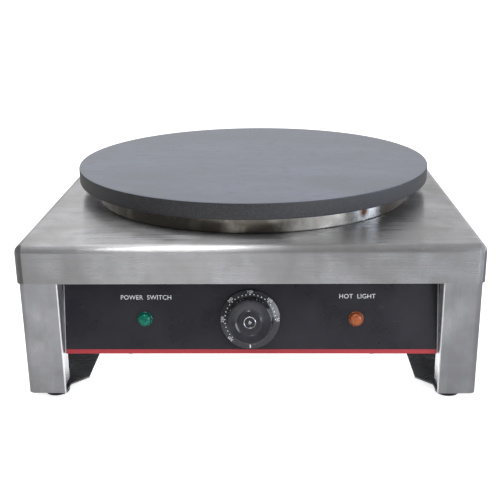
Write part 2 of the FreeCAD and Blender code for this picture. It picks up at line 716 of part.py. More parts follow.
def make_bowl():
    body = new_body("heat_bowl")
    revolve(body, [
        ("0", "floor_under"), ("bowl_radius", "floor_under"), ("bowl_radius", "rim_under"),
        ("bowl_radius + bowl_rim", "rim_under"), ("bowl_radius + bowl_rim", "rim_top"),
        ("bowl_inner", "rim_top"), ("bowl_inner", "floor_top"), ("0", "floor_top")])
    drill_floor(body, "floor_top", "2 * bowl_sheet", "stud_radius + screw_clearance",
                "bush_radius + thread_clearance")
    drill_rim(body, "rim_top", "2 * bowl_sheet")
    keep(body)
    body = new_body("insulation_disc")
    pad(body, circle(sketch(body, offset="floor_top"), "0", "0", "layer_radius"), "insulation_thickness")
    drill_floor(body, "insulation_top", "2 * insulation_thickness", "sleeve_radius + seat_gap",
                "bush_radius + seat_gap")
    keep(body)
    body = new_body("reflector_disc")
    pad(body, circle(sketch(body, offset="insulation_top"), "0", "0", "layer_radius"), "reflector_sheet")
    drill_floor(body, "insulation_top + reflector_sheet", "2 * reflector_sheet",
                "sleeve_radius + seat_gap", "bush_radius + seat_gap")
    keep(body)
    body = new_body("plate_collar")
    inner, foot = "collar_radius - collar_sheet", "collar_radius - collar_foot"
    revolve(body, [
        (foot, "cover_top"), ("collar_radius", "cover_top"), ("collar_radius", "collar_top"),
        (inner, "collar_top"), (inner, "rim_under"), (foot, "rim_under")])
    drill_rim(body, "rim_under", "2 * collar_sheet")
    keep(body)


def make_rim_screws():
    screw = new_body("rim_screw_master")
    shank = "rim_top - cover_under + rim_nut_height + seat_gap"
    revolve(screw, [
        ("0", f"-({shank})"), ("rim_screw_radius", f"-({shank})"), ("rim_screw_radius", "0"),
        ("rim_head_radius", "0"), ("rim_head_radius", "rim_head_height"), ("0", "rim_head_height")])
    spots = ring_spots("rim_circle", "0", "360 / rim_screw_count", int(value("rim_screw_count")), "rim_top")
    keep(group("rim_screws", screw, spots))
    master = nut("rim_nut_master", "rim_nut_width", "rim_nut_height", "rim_screw_radius + thread_clearance")
    keep(group("rim_nuts", master, at_height(spots, "cover_under - rim_nut_height")))


# Shapes that follow a path

def solid_piece(label, shape):
    piece = doc.addObject("Part::Feature", label)
    piece.Label = label
    piece.Shape = shape
    piece.Placement = FreeCAD.Placement()
    return keep(piece)


def swept(path, start, direction, radius):
    profile = Part.Wire([Part.makeCircle(radius, start, direction)])
    solid = Part.Wire(path).makePipeShell([profile], True, False)
    expected = math.pi * radius ** 2 * sum(edge.Length for edge in path)
    if abs(solid.Volume - expected) > 0.01 * expected:
        raise ValueError("a swept tube lost its section")
    return solid


def bent_path(corners):
    # Straight runs joined by arcs as large as the runs beside each corner allow
    edges = []
    last = corners[0]
    for before, corner, after in zip(corners, corners[1:], corners[2:]):
        inward = (corner - before).normalize()
        outward = (after - corner).normalize()
        half_turn = inward.getAngle(outward) / 2
        reach = 0.45 * min((corner - before).Length, (after - corner).Length)
        radius = reach / math.tan(half_turn)
        print(f"  bend radius {radius:.1f} mm")
        towards = (outward - inward).normalize()
        start, end = corner - inward * reach, corner + outward * reach
        middle = corner + towards * (radius / math.cos(half_turn) - radius)
        edges.append(Part.LineSegment(last, start).toShape())
        edges.append(Part.Arc(start, middle, end).toShape())
        last = end
    edges.append(Part.LineSegment(last, corners[-1]).toShape())
    return edges


def tube(corners, radius):
    return swept(bent_path(corners), corners[0], corners[1] - corners[0], radius)


def point(x, y, z):
    return Vector(value(x), value(y), value(z))


def along(start, end, x, y, z):
    # Between two ends, at a share of the way along each axis
    way = end - start
    return start + Vector(x * way.x, y * way.y, z * way.z)


def make_element():
    radius, level = value("element_radius"), value("element_z")
    bend, step = value("element_bend"), value("element_step")
    bottom = value("element_end")
    lean = math.sqrt(0.5) * bend

    def riser(x, side):
        # Quarter bend between a vertical end and the spiral, on the -Y or +Y side
        foot = Vector(x, side * bend, level - bend)
        bow = Vector(x, side * lean, level - bend + lean)
        return foot, bow, Vector(x, 0, level)
    foot, bow, top = riser(value("element_in_x"), -1)
    start = Vector(foot.x, foot.y, bottom)
    path = [Part.LineSegment(start, foot).toShape(), Part.Arc(foot, bow, top).toShape()]
    here = top
    turn_radius = value("element_inner_turn")
    for half in range(int(value("element_half_turns"))):
        side = 1 if half % 2 == 0 else -1
        middle = here + Vector(-side * turn_radius, side * turn_radius, 0)
        end = here + Vector(-side * 2 * turn_radius, 0, 0)
        path.append(Part.Arc(here, middle, end).toShape())
        here = end
        turn_radius += step
    foot, bow, top = riser(here.x, 1)
    path.append(Part.Arc(top, bow, foot).toShape())
    path.append(Part.LineSegment(foot, Vector(foot.x, foot.y, bottom)).toShape())
    solid_piece("heating_element", swept(path, start, Vector(0, 0, 1), radius))


ELEMENT_ENDS = [("element_in_x", "-element_bend"), ("element_out_x", "element_bend")]


def make_element_ends():
    bush = new_body("bush_master")
    hole = "element_radius + thread_clearance"
    revolve(bush, [
        (hole, "-bush_flange"), ("bush_flange_radius", "-bush_flange"),
        ("bush_flange_radius", "0"), ("bush_radius", "0"), ("bush_radius", "bush_neck"),
        (hole, "bush_neck")])
    keep(group("element_bushes", bush, [(x, y, "floor_under") for x, y in ELEMENT_ENDS]))
    tab = block("tab_master", "tab_width", "tab_sheet", "tab_length")
    spots = [(f"{x} - tab_width / 2", f"{y} - tab_sheet / 2", "element_end - tab_length")
             for x, y in ELEMENT_ENDS]
    keep(group("element_tabs", tab, spots))


# Temperature sensor

def make_sensor():
    bulb = cylinder("sensor_bulb", "bulb_radius", "bulb_length")
    turn(bulb, (1, 0, 0), "90")
    keep_at(bulb, "bulb_x", "bulb_length / 2", "bulb_z")
    body = new_body("bulb_clip")
    drawing = sketch(body)
    half = "clip_width / 2"
    rectangle(drawing, f"-{half}", half, "-clip_length / 2", "clip_length / 2")
    pad(body, drawing, "bulb_z - boss_under - bulb_radius / 2")
    drawing = sketch(body, "XZ_Plane")
    circle(drawing, "0", "bulb_z - boss_under", "bulb_radius + bulb_air / 2")
    cut = pocket(body, drawing, "2 * clip_length")
    cut.Midplane = True
    keep_at(body, "bulb_x", "0", "boss_under")
    # The capillary drops through the bowl and runs forward to the thermostat.
    back = "panel_sheet + thermostat_depth"
    end = point("bulb_x / 2", f"control_y + ({back}) * cos(panel_tilt)", f"control_z - ({back}) * sin(panel_tilt)")
    out = Vector(0, value("cos(panel_tilt)"), -value("sin(panel_tilt)"))
    low = point("bulb_x", "capillary_drop_y", "floor_under - capillary_drop")
    leave = end + out * value("capillary_run")
    corners = [
        point("bulb_x", "-bulb_length / 2", "bulb_z"), point("bulb_x", "capillary_drop_y", "bulb_z"),
        low, along(low, leave, -0.57, 0.14, 0.73), along(low, leave, 0.57, 0.66, 1.1), leave, end]
    solid_piece("capillary_tube", tube(corners, value("capillary_radius")))


# Thermostat and its spindle, in panel coordinates

def make_thermostat():
    body = new_body("thermostat_body")
    half = "thermostat_size / 2"
    drawing = rectangle(sketch(body, offset="-panel_sheet"), f"-{half}", half, f"-{half}", half)
    pad(body, drawing, "thermostat_depth", down=True)
    round_edges(body, "post_radius", upright_at(half, half))
    drawing = circle(sketch(body, offset="-panel_sheet"), "0", "0", "spindle_radius + spindle_fit")
    pocket(body, drawing, "spindle_inside + seat_gap - panel_sheet")
    drawing = sketch(body, offset="-panel_sheet")
    for sign in ("", "-"):
        circle(drawing, f"{sign}post_spacing / 2", "0", "post_radius + thread_clearance")
    pocket(body, drawing, "post_depth")
    keep(on_panel(body, "0", "control_height"))
    screw = new_body("post_screw_master")
    shank = "panel_sheet + post_depth - seat_gap"
    revolve(screw, [
        ("0", f"-({shank})"), ("post_radius", f"-({shank})"), ("post_radius", "0"),
        ("post_head_radius", "0"), ("post_head_radius", "post_head"), ("0", "post_head")])
    spots = [(f"{sign}post_spacing / 2", "control_height") for sign in ("", "-")]
    keep(group("thermostat_screws", screw, spots, panel=True))
    tab = new_body("thermostat_tab_master")
    drawing = sketch(tab, offset="-(panel_sheet + thermostat_depth)")
    rectangle(drawing, "-tab_width / 2", "tab_width / 2", "-tab_sheet / 2", "tab_sheet / 2")
    pad(tab, drawing, "tab_length", down=True)
    spots = [(f"{sign}terminal_spacing / 2", "control_height + terminal_rise") for sign in ("", "-")]
    keep(group("thermostat_tabs", tab, spots, panel=True))


def d_section(label, radius, flat, bottom, top):
    # A round bar with one flat along its upper part
    bar = place(cylinder(label + "_bar", radius, f"({top}) - ({bottom})"), "0", "0", bottom)
    cutter = block(label + "_flat", "4 * spindle_radius", "2 * spindle_radius", f"({top}) - ({flat})")
    place(cutter, "-2 * spindle_radius", f"{radius} - spindle_flat", flat)
    return boolean("Cut", label, bar, cutter)


def make_spindle():
    spindle = d_section("thermostat_spindle", "spindle_radius", "knob_base + flat_start", "-spindle_inside",
                        "spindle_length")
    keep(on_panel(spindle, "0", "control_height"))
    # The clearance bore has its flat moved out by the same fit.
    insert = cylinder("insert_blank", "insert_radius", "insert_length")
    place(insert, "0", "0", "knob_base + insert_lift")
    bore = d_section("insert_bore", "spindle_radius + spindle_fit", "knob_base + 2", "0",
                     "spindle_length + 2")
    insert = boolean("Cut", "knob_insert", insert, bore)
    keep(on_panel(insert, "0", "control_height"))


def make_knob():
    body = new_body("knob")
    edge = "knob_base + skirt_edge"
    shoulder = "knob_base + skirt_edge + skirt_rise"
    rim = "grip_radius - grip_draft"
    dish = "grip_top - dish_depth"
    pocket_radius = "insert_radius + insert_fit"
    bore_top = "knob_base + insert_lift + insert_length + bore_relief"
    revolve(body, [
        (pocket_radius, "knob_base"), ("skirt_radius", "knob_base"), ("skirt_radius", edge),
        ("grip_radius + grip_edge", shoulder), ("grip_radius", f"{shoulder} + grip_edge"),
        (rim, "grip_top - grip_edge"),
        (f"{rim} - grip_edge", "grip_top"), (f"{rim} - grip_rim", "grip_top"),
        ("hub_radius + hub_flare", dish), ("hub_radius", dish), ("hub_radius - hub_draft", "hub_top"),
        ("0", "hub_top"), ("0", bore_top), (pocket_radius, bore_top)])
    drawing = sketch(body, offset="grip_top")
    circle(drawing, "0", "grip_radius - flute_depth + flute_radius", "flute_radius")
    cut = pocket(body, drawing, "grip_height - flute_start")
    ring_pattern(body, cut, "flute_count")
    keep(on_panel(body, "0", "control_height"))
    body = new_body("knob_badge")
    pad(body, circle(sketch(body, offset="hub_top"), "0", "0", "badge_radius"), "badge_height")
    round_edges(body, "badge_height / 3", level_at("hub_top + badge_height"), "Chamfer")
    keep(on_panel(body, "0", "control_height"))


# Pilot lamps, in panel coordinates

def make_lamp(colour, side):
    x = f"{side} * lamp_offset"
    lens = new_body(f"{colour}_lamp_lens")
    base = "overlay_sheet"
    pad(lens, circle(sketch(lens, offset=base), "0", "0", "lens_rim_radius"), "lens_rim")
    round_edges(lens, "lens_rim / 2", level_at(f"{base} + lens_rim"))
    pad(lens, circle(sketch(lens, offset=base), "0", "0", "lens_radius"), "lens_height")
    round_edges(lens, "lens_round", level_at(f"{base} + lens_height"))
    keep(on_panel(lens, x, "control_height"))
    barrel = new_body(f"{colour}_lamp_body")
    drawing = circle(sketch(barrel, offset=base), "0", "0", "lamp_barrel_radius")
    pad(barrel, drawing, "overlay_sheet + lamp_barrel", down=True)
    round_edges(barrel, "lens_rim / 2", level_at("-lamp_barrel"))
    keep(on_panel(barrel, x, "control_height"))


def make_lamp_fittings():
    spots = [(f"{side} * lamp_offset", "control_height") for side in (-1, 1)]
    clip = new_body("lamp_clip_master")
    drawing = circle(sketch(clip, offset="-panel_sheet"), "0", "0", "clip_radius")
    circle(drawing, "0", "0", "lamp_barrel_radius + thread_clearance")
    pad(clip, drawing, "clip_height", down=True)
    keep(group("lamp_clips", clip, spots, panel=True))
    tab = new_body("lamp_pin_master")
    drawing = sketch(tab, offset="-lamp_barrel")
    rectangle(drawing, "-tab_sheet / 2", "tab_sheet / 2", "-pin_width / 2", "pin_width / 2")
    pad(tab, drawing, "pin_length", down=True)
    spots = [(f"{side} * lamp_offset + {half} * pin_spacing / 2", "control_height")
             for side in (-1, 1) for half in (-1, 1)]
    keep(group("lamp_pins", tab, spots, panel=True))


# Mains inlet, terminal block and earth stud

def make_inlet():
    gland = new_body("cable_gland")
    tail = "rear_sheet + gland_tail"
    revolve(gland, [
        ("gland_bore", f"-({tail})"), ("gland_thread_radius", f"-({tail})"),
        ("gland_thread_radius", "0"), ("gland_dome_radius", "0"),
        ("gland_dome_radius", "gland_flange + gland_dome - gland_crown"),
        ("gland_dome_radius - gland_lip", "gland_flange + gland_dome"),
        ("gland_bore", "gland_flange + gland_dome")])
    drawing = hexagon(sketch(gland), "gland_hex")
    circle(drawing, "0", "0", "(gland_bore + gland_thread_radius) / 2")
    pad(gland, drawing, "gland_flange")
    turn(gland, (1, 0, 0), "-90")
    keep_at(gland, "gland_x", "rear_y", "gland_z")
    locknut = nut("gland_locknut", "gland_hex", "locknut_height", "gland_thread_radius + thread_clearance")
    turn(locknut, (1, 0, 0), "-90")
    keep_at(locknut, "gland_x", "rear_y - rear_sheet - locknut_height", "gland_z")


def make_terminals():
    body = new_body("terminal_block")
    half_x, half_y = "block_length / 2", "block_width / 2"
    pad(body, rectangle(sketch(body), f"-{half_x}", half_x, f"-{half_y}", half_y), "block_height")
    drawing = sketch(body, offset="block_height")
    poles = [(f"{k} * block_pitch", "0") for k in (-1, 0, 1)]
    for x, y in poles:
        circle(drawing, x, y, "block_pole_radius + thread_clearance")
    pocket(body, drawing, "block_pole_depth + pole_relief")
    keep_at(body, "block_x", "block_y", "pan_top")
    screw = new_body("pole_screw_master")
    pad(screw, circle(sketch(screw), "0", "0", "block_pole_radius"), "block_pole_depth")
    drawing = sketch(screw, offset="block_pole_depth")
    rectangle(drawing, "-block_pole_radius", "block_pole_radius", "-tab_sheet / 2", "tab_sheet / 2")
    pocket(screw, drawing, "block_pole_radius / 2")
    floor = "pan_top + block_height - block_pole_depth - pole_relief"
    keep(group("pole_screws", screw, [(f"block_x + {x}", "block_y", floor) for x, y in poles]))
    stud = new_body("earth_stud")
    head = "earth_radius * 2"
    revolve(stud, [
        ("0", "-earth_head"), (head, "-earth_head"), (head, "0"), ("earth_radius", "0"),
        ("earth_radius", "earth_length"), ("0", "earth_length")])
    keep_at(stud, "earth_x", "earth_y", "pan_z")
    earth_nut = nut("earth_nut", "earth_nut_width", "earth_nut_height", "earth_radius + thread_clearance")
    keep_at(earth_nut, "earth_x", "earth_y", "pan_top")


# Leads inside the body, each clipped along a fixed route

def make_leads():
    radius = value("lead_radius")
    slope = Vector(0, value("cos(panel_tilt)"), -value("sin(panel_tilt)"))
    back = "(panel_sheet + thermostat_depth + tab_length)"
    rise = "(control_height + terminal_rise)"

    def thermostat_end(side):
        return point(f"{side} * terminal_spacing / 2",
                     f"panel_y + {rise} * sin(panel_tilt) + {back} * cos(panel_tilt)",
                     f"panel_z + {rise} * cos(panel_tilt) - {back} * sin(panel_tilt)")

    def element_end(index):
        x, y = ELEMENT_ENDS[index]
        return point(x, y, "element_end - tab_length")

    def pole(index):
        return point(f"block_x + {index} * block_pitch", "block_y - block_width / 2", "pan_top + lead_entry")

    out, run, bow = (value(name) for name in ("lead_exit", "lead_run", "lead_bow"))
    forward, down = Vector(0, -out, 0), Vector(0, 0, -run)
    start, end = pole(-1), thermostat_end(-1)
    solid_piece("live_lead", tube([
        start, start + forward, along(start, end, 0.06, 0.27, 0), along(start, end, 0.37, 0.66, 0),
        along(start, end, 0.84, 0.86, 0.35), end + slope * run, end], radius))
    start, end = thermostat_end(1), element_end(0)
    solid_piece("element_lead", tube([
        start, start + slope * run, along(start, end, 0.7, 0.42, -0.2),
        along(start, end, 1, 0.82, 0.15), end + down, end], radius))
    start, end = pole(0), element_end(1)
    solid_piece("neutral_lead", tube([
        start, start + forward, along(start, end, 0.18, 0.44, 0.04),
        along(start, end, 0.73, 0.8, 0.12), along(start, end, 0.97, 0.97, 0.49),
        end + down, end], radius))
    start = pole(1)
    end = point("earth_x", "earth_y - earth_nut_width / 2 - lead_radius", "pan_top + 2 * lead_radius")
    sag = Vector(0, -bow, 0)
    solid_piece("earth_lead", tube([
        start, start + sag / 2, along(start, end, 0.33, 0, 0.33) + sag,
        along(start, end, 0.88, 1, 0.8) + sag * 0.7, end], radius))


# Feet

def make_feet():
    for end, sy in (("front", "-"), ("rear", "")):
        for side, sx in (("left", "-"), ("right", "")):
            foot = new_body(f"foot_{end}_{side}")
            hole = "foot_screw_radius + screw_clearance"
            revolve(foot, [
                ("foot_recess_radius", "0"), ("foot_toe_radius", "0"), ("foot_radius", "foot_height"),
                (hole, "foot_height"), (hole, "foot_recess"), ("foot_recess_radius", "foot_recess")])
            keep_at(foot, f"{sx}foot_x", f"{sy}foot_y", "0")
    corners = [(f"{sx}foot_x", f"{sy}foot_y") for sx in ("", "-") for sy in ("", "-")]
    screw = new_body("foot_screw_master")
    revolve(screw, [
        ("0", "-foot_head"), ("foot_head_radius", "-foot_head"), ("foot_head_radius", "0"),
        ("foot_screw_radius", "0"), ("foot_screw_radius", "foot_screw_length"),
        ("0", "foot_screw_length")])
    keep(group("foot_screws", screw, [(x, y, "foot_recess") for x, y in corners]))
    master = nut("foot_nut_master", "foot_nut_width", "foot_nut_height", "foot_screw_radius + thread_clearance")
    keep(group("foot_nuts", master, [(x, y, "rail_top") for x, y in corners]))


# Weld studs under the cover with their nuts, and base pan screws

def make_fixings():
    sides = [(f"{sx}stud_row_x", f"{k} * weld_stud_row") for sx in ("", "-") for k in (-1, 0, 1)]
    ends = [(f"{sx}weld_stud_row", y) for sx in ("", "-") for y in ("front_stud_y", "rear_stud_y")]
    stud = cylinder("weld_stud_master", "weld_stud_radius", "weld_stud_length")
    spots = [(x, y, "cover_under - weld_stud_length") for x, y in sides + ends]
    keep(group("cover_studs", stud, spots))
    master = nut("weld_nut_master", "weld_nut_width", "weld_nut_height", "weld_stud_radius + thread_clearance")
    spots = [(x, y, "flange_under - weld_nut_height") for x, y in sides]
    spots += [(x, y, "cover_under - panel_sheet - weld_nut_height") for x, y in ends]
    keep(group("cover_nuts", master, spots))
    screw = new_body("pan_screw_master")
    revolve(screw, [
        ("0", "-pan_head"), ("pan_head_radius", "-pan_head"), ("pan_head_radius", "0"),
        ("pan_screw_radius", "0"), ("pan_screw_radius", "pan_screw_length"), ("0", "pan_screw_length")])
    rows = ("rear_y - rear_flange + pan_screw_inset", "panel_y + panel_flange - pan_screw_inset")
    spots = [(f"{sx}pan_screw_row", y, "panel_z") for sx in ("", "-") for y in rows]
    keep(group("pan_screws", screw, spots))


make_cover()
make_side("left_side_panel", -1)
make_side("right_side_panel", 1)
make_front_panel()
make_overlay()
make_rear_panel()
make_pan()
make_plate()
make_studs()
make_clamp()
make_bowl()
make_rim_screws()
make_element()
make_element_ends()
make_sensor()
make_thermostat()
make_spindle()
make_knob()
make_lamp("green", -1)
make_lamp("amber", 1)
make_lamp_fittings()
make_inlet()
make_terminals()
make_leads()
make_feet()
make_fixings()
doc.recompute()

for item in doc.Objects:
    if any(word in item.State for word in ("Invalid", "Error")):
        raise ValueError(f"{item.Label} did not recompute: {item.State}")
for item in finished:
    if item.Shape.isNull() or not item.Shape.isValid():
        raise ValueError(f"{item.Label} has no valid shape")

os.makedirs("parts", exist_ok=True)
for item in finished:
    item.Shape.exportStep(f"parts/{item.Label}.step")
    print(item.Label, len(item.Shape.Solids), round(item.Shape.Volume))
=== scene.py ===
import bpy
import bmesh
from math import cos, pi, radians, sin
from mathutils import Matrix, Vector


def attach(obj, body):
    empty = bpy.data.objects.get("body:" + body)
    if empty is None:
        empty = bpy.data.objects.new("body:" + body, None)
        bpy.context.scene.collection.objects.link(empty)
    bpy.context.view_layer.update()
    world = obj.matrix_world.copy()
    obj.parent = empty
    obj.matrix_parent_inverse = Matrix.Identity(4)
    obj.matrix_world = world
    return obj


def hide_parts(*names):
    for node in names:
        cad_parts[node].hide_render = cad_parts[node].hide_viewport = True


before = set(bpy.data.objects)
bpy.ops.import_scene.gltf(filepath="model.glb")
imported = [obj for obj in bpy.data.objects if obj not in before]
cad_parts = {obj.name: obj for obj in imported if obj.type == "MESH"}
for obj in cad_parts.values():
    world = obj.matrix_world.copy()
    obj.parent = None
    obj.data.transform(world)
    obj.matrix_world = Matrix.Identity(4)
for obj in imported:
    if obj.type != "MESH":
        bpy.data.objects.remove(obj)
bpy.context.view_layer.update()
mm = 0.001  # lengths below are in millimetres, Blender's are in metres
panelTilt = 12.2  # degrees that the control panel leans back
controlRise = 35  # height of the knob and lamps on the panel, along its face
print("frame loaded:", len(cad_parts), "parts")


# Nodes and colours

def linear(hexColour):
    channels = [int(hexColour[i:i + 2], 16) / 255 for i in (1, 3, 5)]
    return [c / 12.92 if c <= 0.04045 else ((c + 0.055) / 1.055) ** 2.4 for c in channels] + [1]


def addNode(tree, kind, settings={}):
    # A setting is a plain value, a hex colour, or another node's output, which is linked
    node = tree.nodes.new("ShaderNode" + kind)
    for name, setting in settings.items():
        if isinstance(name, str) and hasattr(node, name):
            setattr(node, name, setting)
        elif isinstance(setting, bpy.types.NodeSocket):
            tree.links.new(setting, node.inputs[name])
        else:
            node.inputs[name].default_value = linear(setting) if isinstance(setting, str) else setting
    return node


def startMaterial(name, settings):
    material = bpy.data.materials.new(name)
    material.use_nodes = True
    tree = material.node_tree
    tree.nodes.clear()
    shader = addNode(tree, "BsdfPrincipled", settings)
    addNode(tree, "OutputMaterial", {"Surface": shader.outputs[0]})
    place = addNode(tree, "TexCoord").outputs["Object"]
    return material, tree, shader, place


def blotches(tree, place, sizeMm, stretch=(1, 1, 1), detail=3, rough=0.55):
    # Cloudy pattern with blotches about sizeMm across, longer along an axis whose stretch is small
    scaled = addNode(tree, "Mapping", {"Scale": stretch, "Vector": place}).outputs[0]
    return addNode(tree, "TexNoise", {"Vector": scaled, "Scale": 1 / (sizeMm * mm), "Detail": detail,
                                      "Roughness": rough}).outputs["Fac"]


usualRange = {"From Min": 0.3, "From Max": 0.7}  # most of a cloudy pattern lies in here


def layered(tree, under, over, pattern, start=0.3, full=0.7, amount=1):
    # The second colour lies over the first where the pattern rises from start to full
    share = addNode(tree, "MapRange", {"Value": pattern, "From Min": start, "From Max": full,
                                       "To Max": amount}).outputs[0]
    return addNode(tree, "Mix", {"data_type": "RGBA", 0: share, 6: under, 7: over}).outputs[2]


def facing(tree, axis):
    # 1 on faces that look along the axis, 0 on the others, taken from the true face direction
    normal = addNode(tree, "NewGeometry").outputs["Normal"]
    part = addNode(tree, "SeparateXYZ", {0: normal}).outputs[axis]
    return addNode(tree, "Math", {"operation": "ABSOLUTE", 0: part}).outputs[0]


def surface(tree, shader, colour, gloss, rough, relief, depthMm, strength=0.4):
    # How most finishes end: colour, a roughness that follows one pattern, a relief that follows another
    roughness = addNode(tree, "MapRange", {**usualRange, "Value": gloss, "To Min": rough[0],
                                           "To Max": rough[1]})
    bump = addNode(tree, "Bump", {"Height": relief, "Distance": depthMm * mm, "Strength": strength})
    tree.links.new(colour, shader.inputs["Base Color"])
    tree.links.new(roughness.outputs[0], shader.inputs["Roughness"])
    tree.links.new(bump.outputs[0], shader.inputs["Normal"])


# Materials

def brushedSteel(name, look):
    # Stainless sheet with a belt-brushed satin grain: reflections smear across it, stay soft along it
    material, tree, shader, place = startMaterial(name, {
        "Metallic": 1, "Anisotropic": 1.0, "Anisotropic Rotation": 0.25})
    grain, streak, shine = look["grain"], look["streak"], look["shine"]
    long, fine = 0.012, 1
    along = {"X": (long, fine, fine), "Z": (fine, fine, long)}
    other = {"X": "Z", "Z": "X"}[grain]  # the grain's way where the sheet is bent away from it
    bent = addNode(tree, "MapRange", {"Value": facing(tree, grain), "From Min": 0.6,
                                      "From Max": 0.8}).outputs[0]

    def grainPattern(sizeMm, detail):
        return addNode(tree, "Mix", {
            "data_type": "FLOAT", 0: bent, 2: blotches(tree, place, sizeMm, along[grain], detail),
            3: blotches(tree, place, sizeMm, along[other], detail)}).outputs[0]
    lines = grainPattern(1.1, 4)  # real grit lines are near 0.1 mm, drawn coarser so that they show
    bands = grainPattern(7, 2)
    clouds = blotches(tree, place, 46)  # handling marks and weak heat tint
    smudges = blotches(tree, place, 21, (1, 1, 0.7), 4, 0.5)
    wiped = layered(tree, look["clean"], look["handled"], clouds, 0.35, 0.65)
    smudged = layered(tree, wiped, look["smudge"], smudges, 0.48, 0.68, 0.3)
    lined = layered(tree, smudged, look["line"], lines, 0.35, 0.75, streak * 5)
    banded = layered(tree, lined, look["band"], bands, 0.4, 0.8, 0.36)
    # Upright corners are welded and ground, which leaves them duller
    corner = addNode(tree, "Math", {"operation": "MULTIPLY", 0: facing(tree, "X"),
                                    1: facing(tree, "Y")}).outputs[0]
    ground = addNode(tree, "MapRange", {"Value": corner, "From Min": 0.01, "From Max": 0.09,
                                        "To Max": look["welded"]}).outputs[0]
    colour = addNode(tree, "Mix", {"data_type": "RGBA", 0: ground, 6: banded, 7: look["weld"]})
    streaky = addNode(tree, "MapRange", {**usualRange, "Value": lines, "To Min": -streak,
                                         "To Max": streak})
    cloudy = addNode(tree, "MapRange", {**usualRange, "Value": clouds, "To Min": shine - 0.04,
                                        "To Max": shine + 0.06})
    gloss = addNode(tree, "Math", {"operation": "ADD", 0: streaky.outputs[0], 1: cloudy.outputs[0]})
    duller = addNode(tree, "Math", {"operation": "MULTIPLY_ADD", 0: ground, 1: 0.25,
                                    2: gloss.outputs[0]})
    bump = addNode(tree, "Bump", {"Height": lines, "Distance": 0.012 * mm, "Strength": 0.35})
    # The tangent runs along the grain and turns down with the sheet at each bend
    normal = addNode(tree, "NewGeometry").outputs["Normal"]
    direction = addNode(tree, "SeparateXYZ", {0: normal}).outputs
    steep = addNode(tree, "Math", {"operation": "ABSOLUTE", 0: direction["Y"]}).outputs[0]
    forward = addNode(tree, "Math", {"operation": "ADD", 0: direction[other], 1: steep}).outputs[0]
    down = addNode(tree, "Math", {"operation": "MULTIPLY", 0: direction[grain], 1: -1}).outputs[0]
    tangent = addNode(tree, "CombineXYZ", {grain: forward, other: down})
    for name, output in (("Base Color", colour.outputs[2]), ("Roughness", duller.outputs[0]),
                         ("Normal", bump.outputs[0]), ("Tangent", tangent.outputs[0])):
        tree.links.new(output, shader.inputs[name])
    return material


def collarSteel(look):
    # Rolled stainless ring, brighter than the cover: one welded seam with its straw-brown heat tint
    material, tree, shader, place = startMaterial("rolledStainlessCollar", {"Metallic": 1})
    clouds = blotches(tree, place, 18, (1, 1, 0.6), 4)
    fine = blotches(tree, place, 1.4, (1, 1, 0.08))
    ragged = addNode(tree, "MapRange", {**usualRange, "Value": clouds, "To Min": -2 * mm,
                                        "To Max": 2 * mm}).outputs[0]

    def patch(turn, inner, outer, amount):
        # A ragged patch on the ring at a turn about its axis, full inside the first reach in mm
        centre = Vector((collar["radius"] * cos(radians(turn)), collar["radius"] * sin(radians(turn)),
                         look["patchHeight"])) * mm
        reach = addNode(tree, "VectorMath", {"operation": "DISTANCE", 0: place, 1: centre})
        uneven = addNode(tree, "Math", {"operation": "ADD", 0: reach.outputs["Value"], 1: ragged})
        return addNode(tree, "MapRange", {
            "Value": uneven.outputs[0], "From Min": inner * mm, "From Max": outer * mm,
            "To Min": amount, "To Max": 0}).outputs[0]
    # Painted shade: the ring is drawn darker towards its left side, and a ragged patch at the front
    # right is a painted shadow of the plate; a weak cloudy smoke adds to it
    sideways = addNode(tree, "SeparateXYZ", {0: place}).outputs["X"]
    start, end = look["paintedShadeLeftOf"]
    paintedShadeLeftward = addNode(tree, "MapRange", {
        "Value": sideways, "From Min": start * mm, "From Max": end * mm,
        "To Min": 0.85, "To Max": 0}).outputs[0]
    thin = addNode(tree, "MapRange", {"Value": clouds, "From Min": 0.4, "From Max": 0.7,
                                      "To Max": 0.5}).outputs[0]
    shadeAndSmoke = paintedShadeLeftward
    for more in (thin, patch(*look["paintedShadowPatch"])):
        shadeAndSmoke = addNode(tree, "Math", {"operation": "ADD", 0: shadeAndSmoke, 1: more}).outputs[0]
    base = addNode(tree, "Mix", {"data_type": "RGBA", 0: shadeAndSmoke, 6: look["clean"], 7: look["shadedAndSmoked"]})
    tint = patch(*look["tintPatch"])
    brown = addNode(tree, "Mix", {"data_type": "RGBA", 0: tint, 6: base.outputs[2], 7: look["tint"]})
    surface(tree, shader, brown.outputs[2], clouds, (0.12, 0.24), fine, 0.03)
    return material


def millSteel(name, pale, dull, rough=0.38):
    # Cold-rolled sheet with a dull mill finish, cloudy and faintly lined
    material, tree, shader, place = startMaterial(name, {"Metallic": 1})
    clouds = blotches(tree, place, 30, detail=4)
    lines = blotches(tree, place, 1.6, (0.03, 1, 1))
    surface(tree, shader, layered(tree, pale, dull, clouds), clouds, (rough - 0.07, rough + 0.07),
            lines, 0.012)
    return material


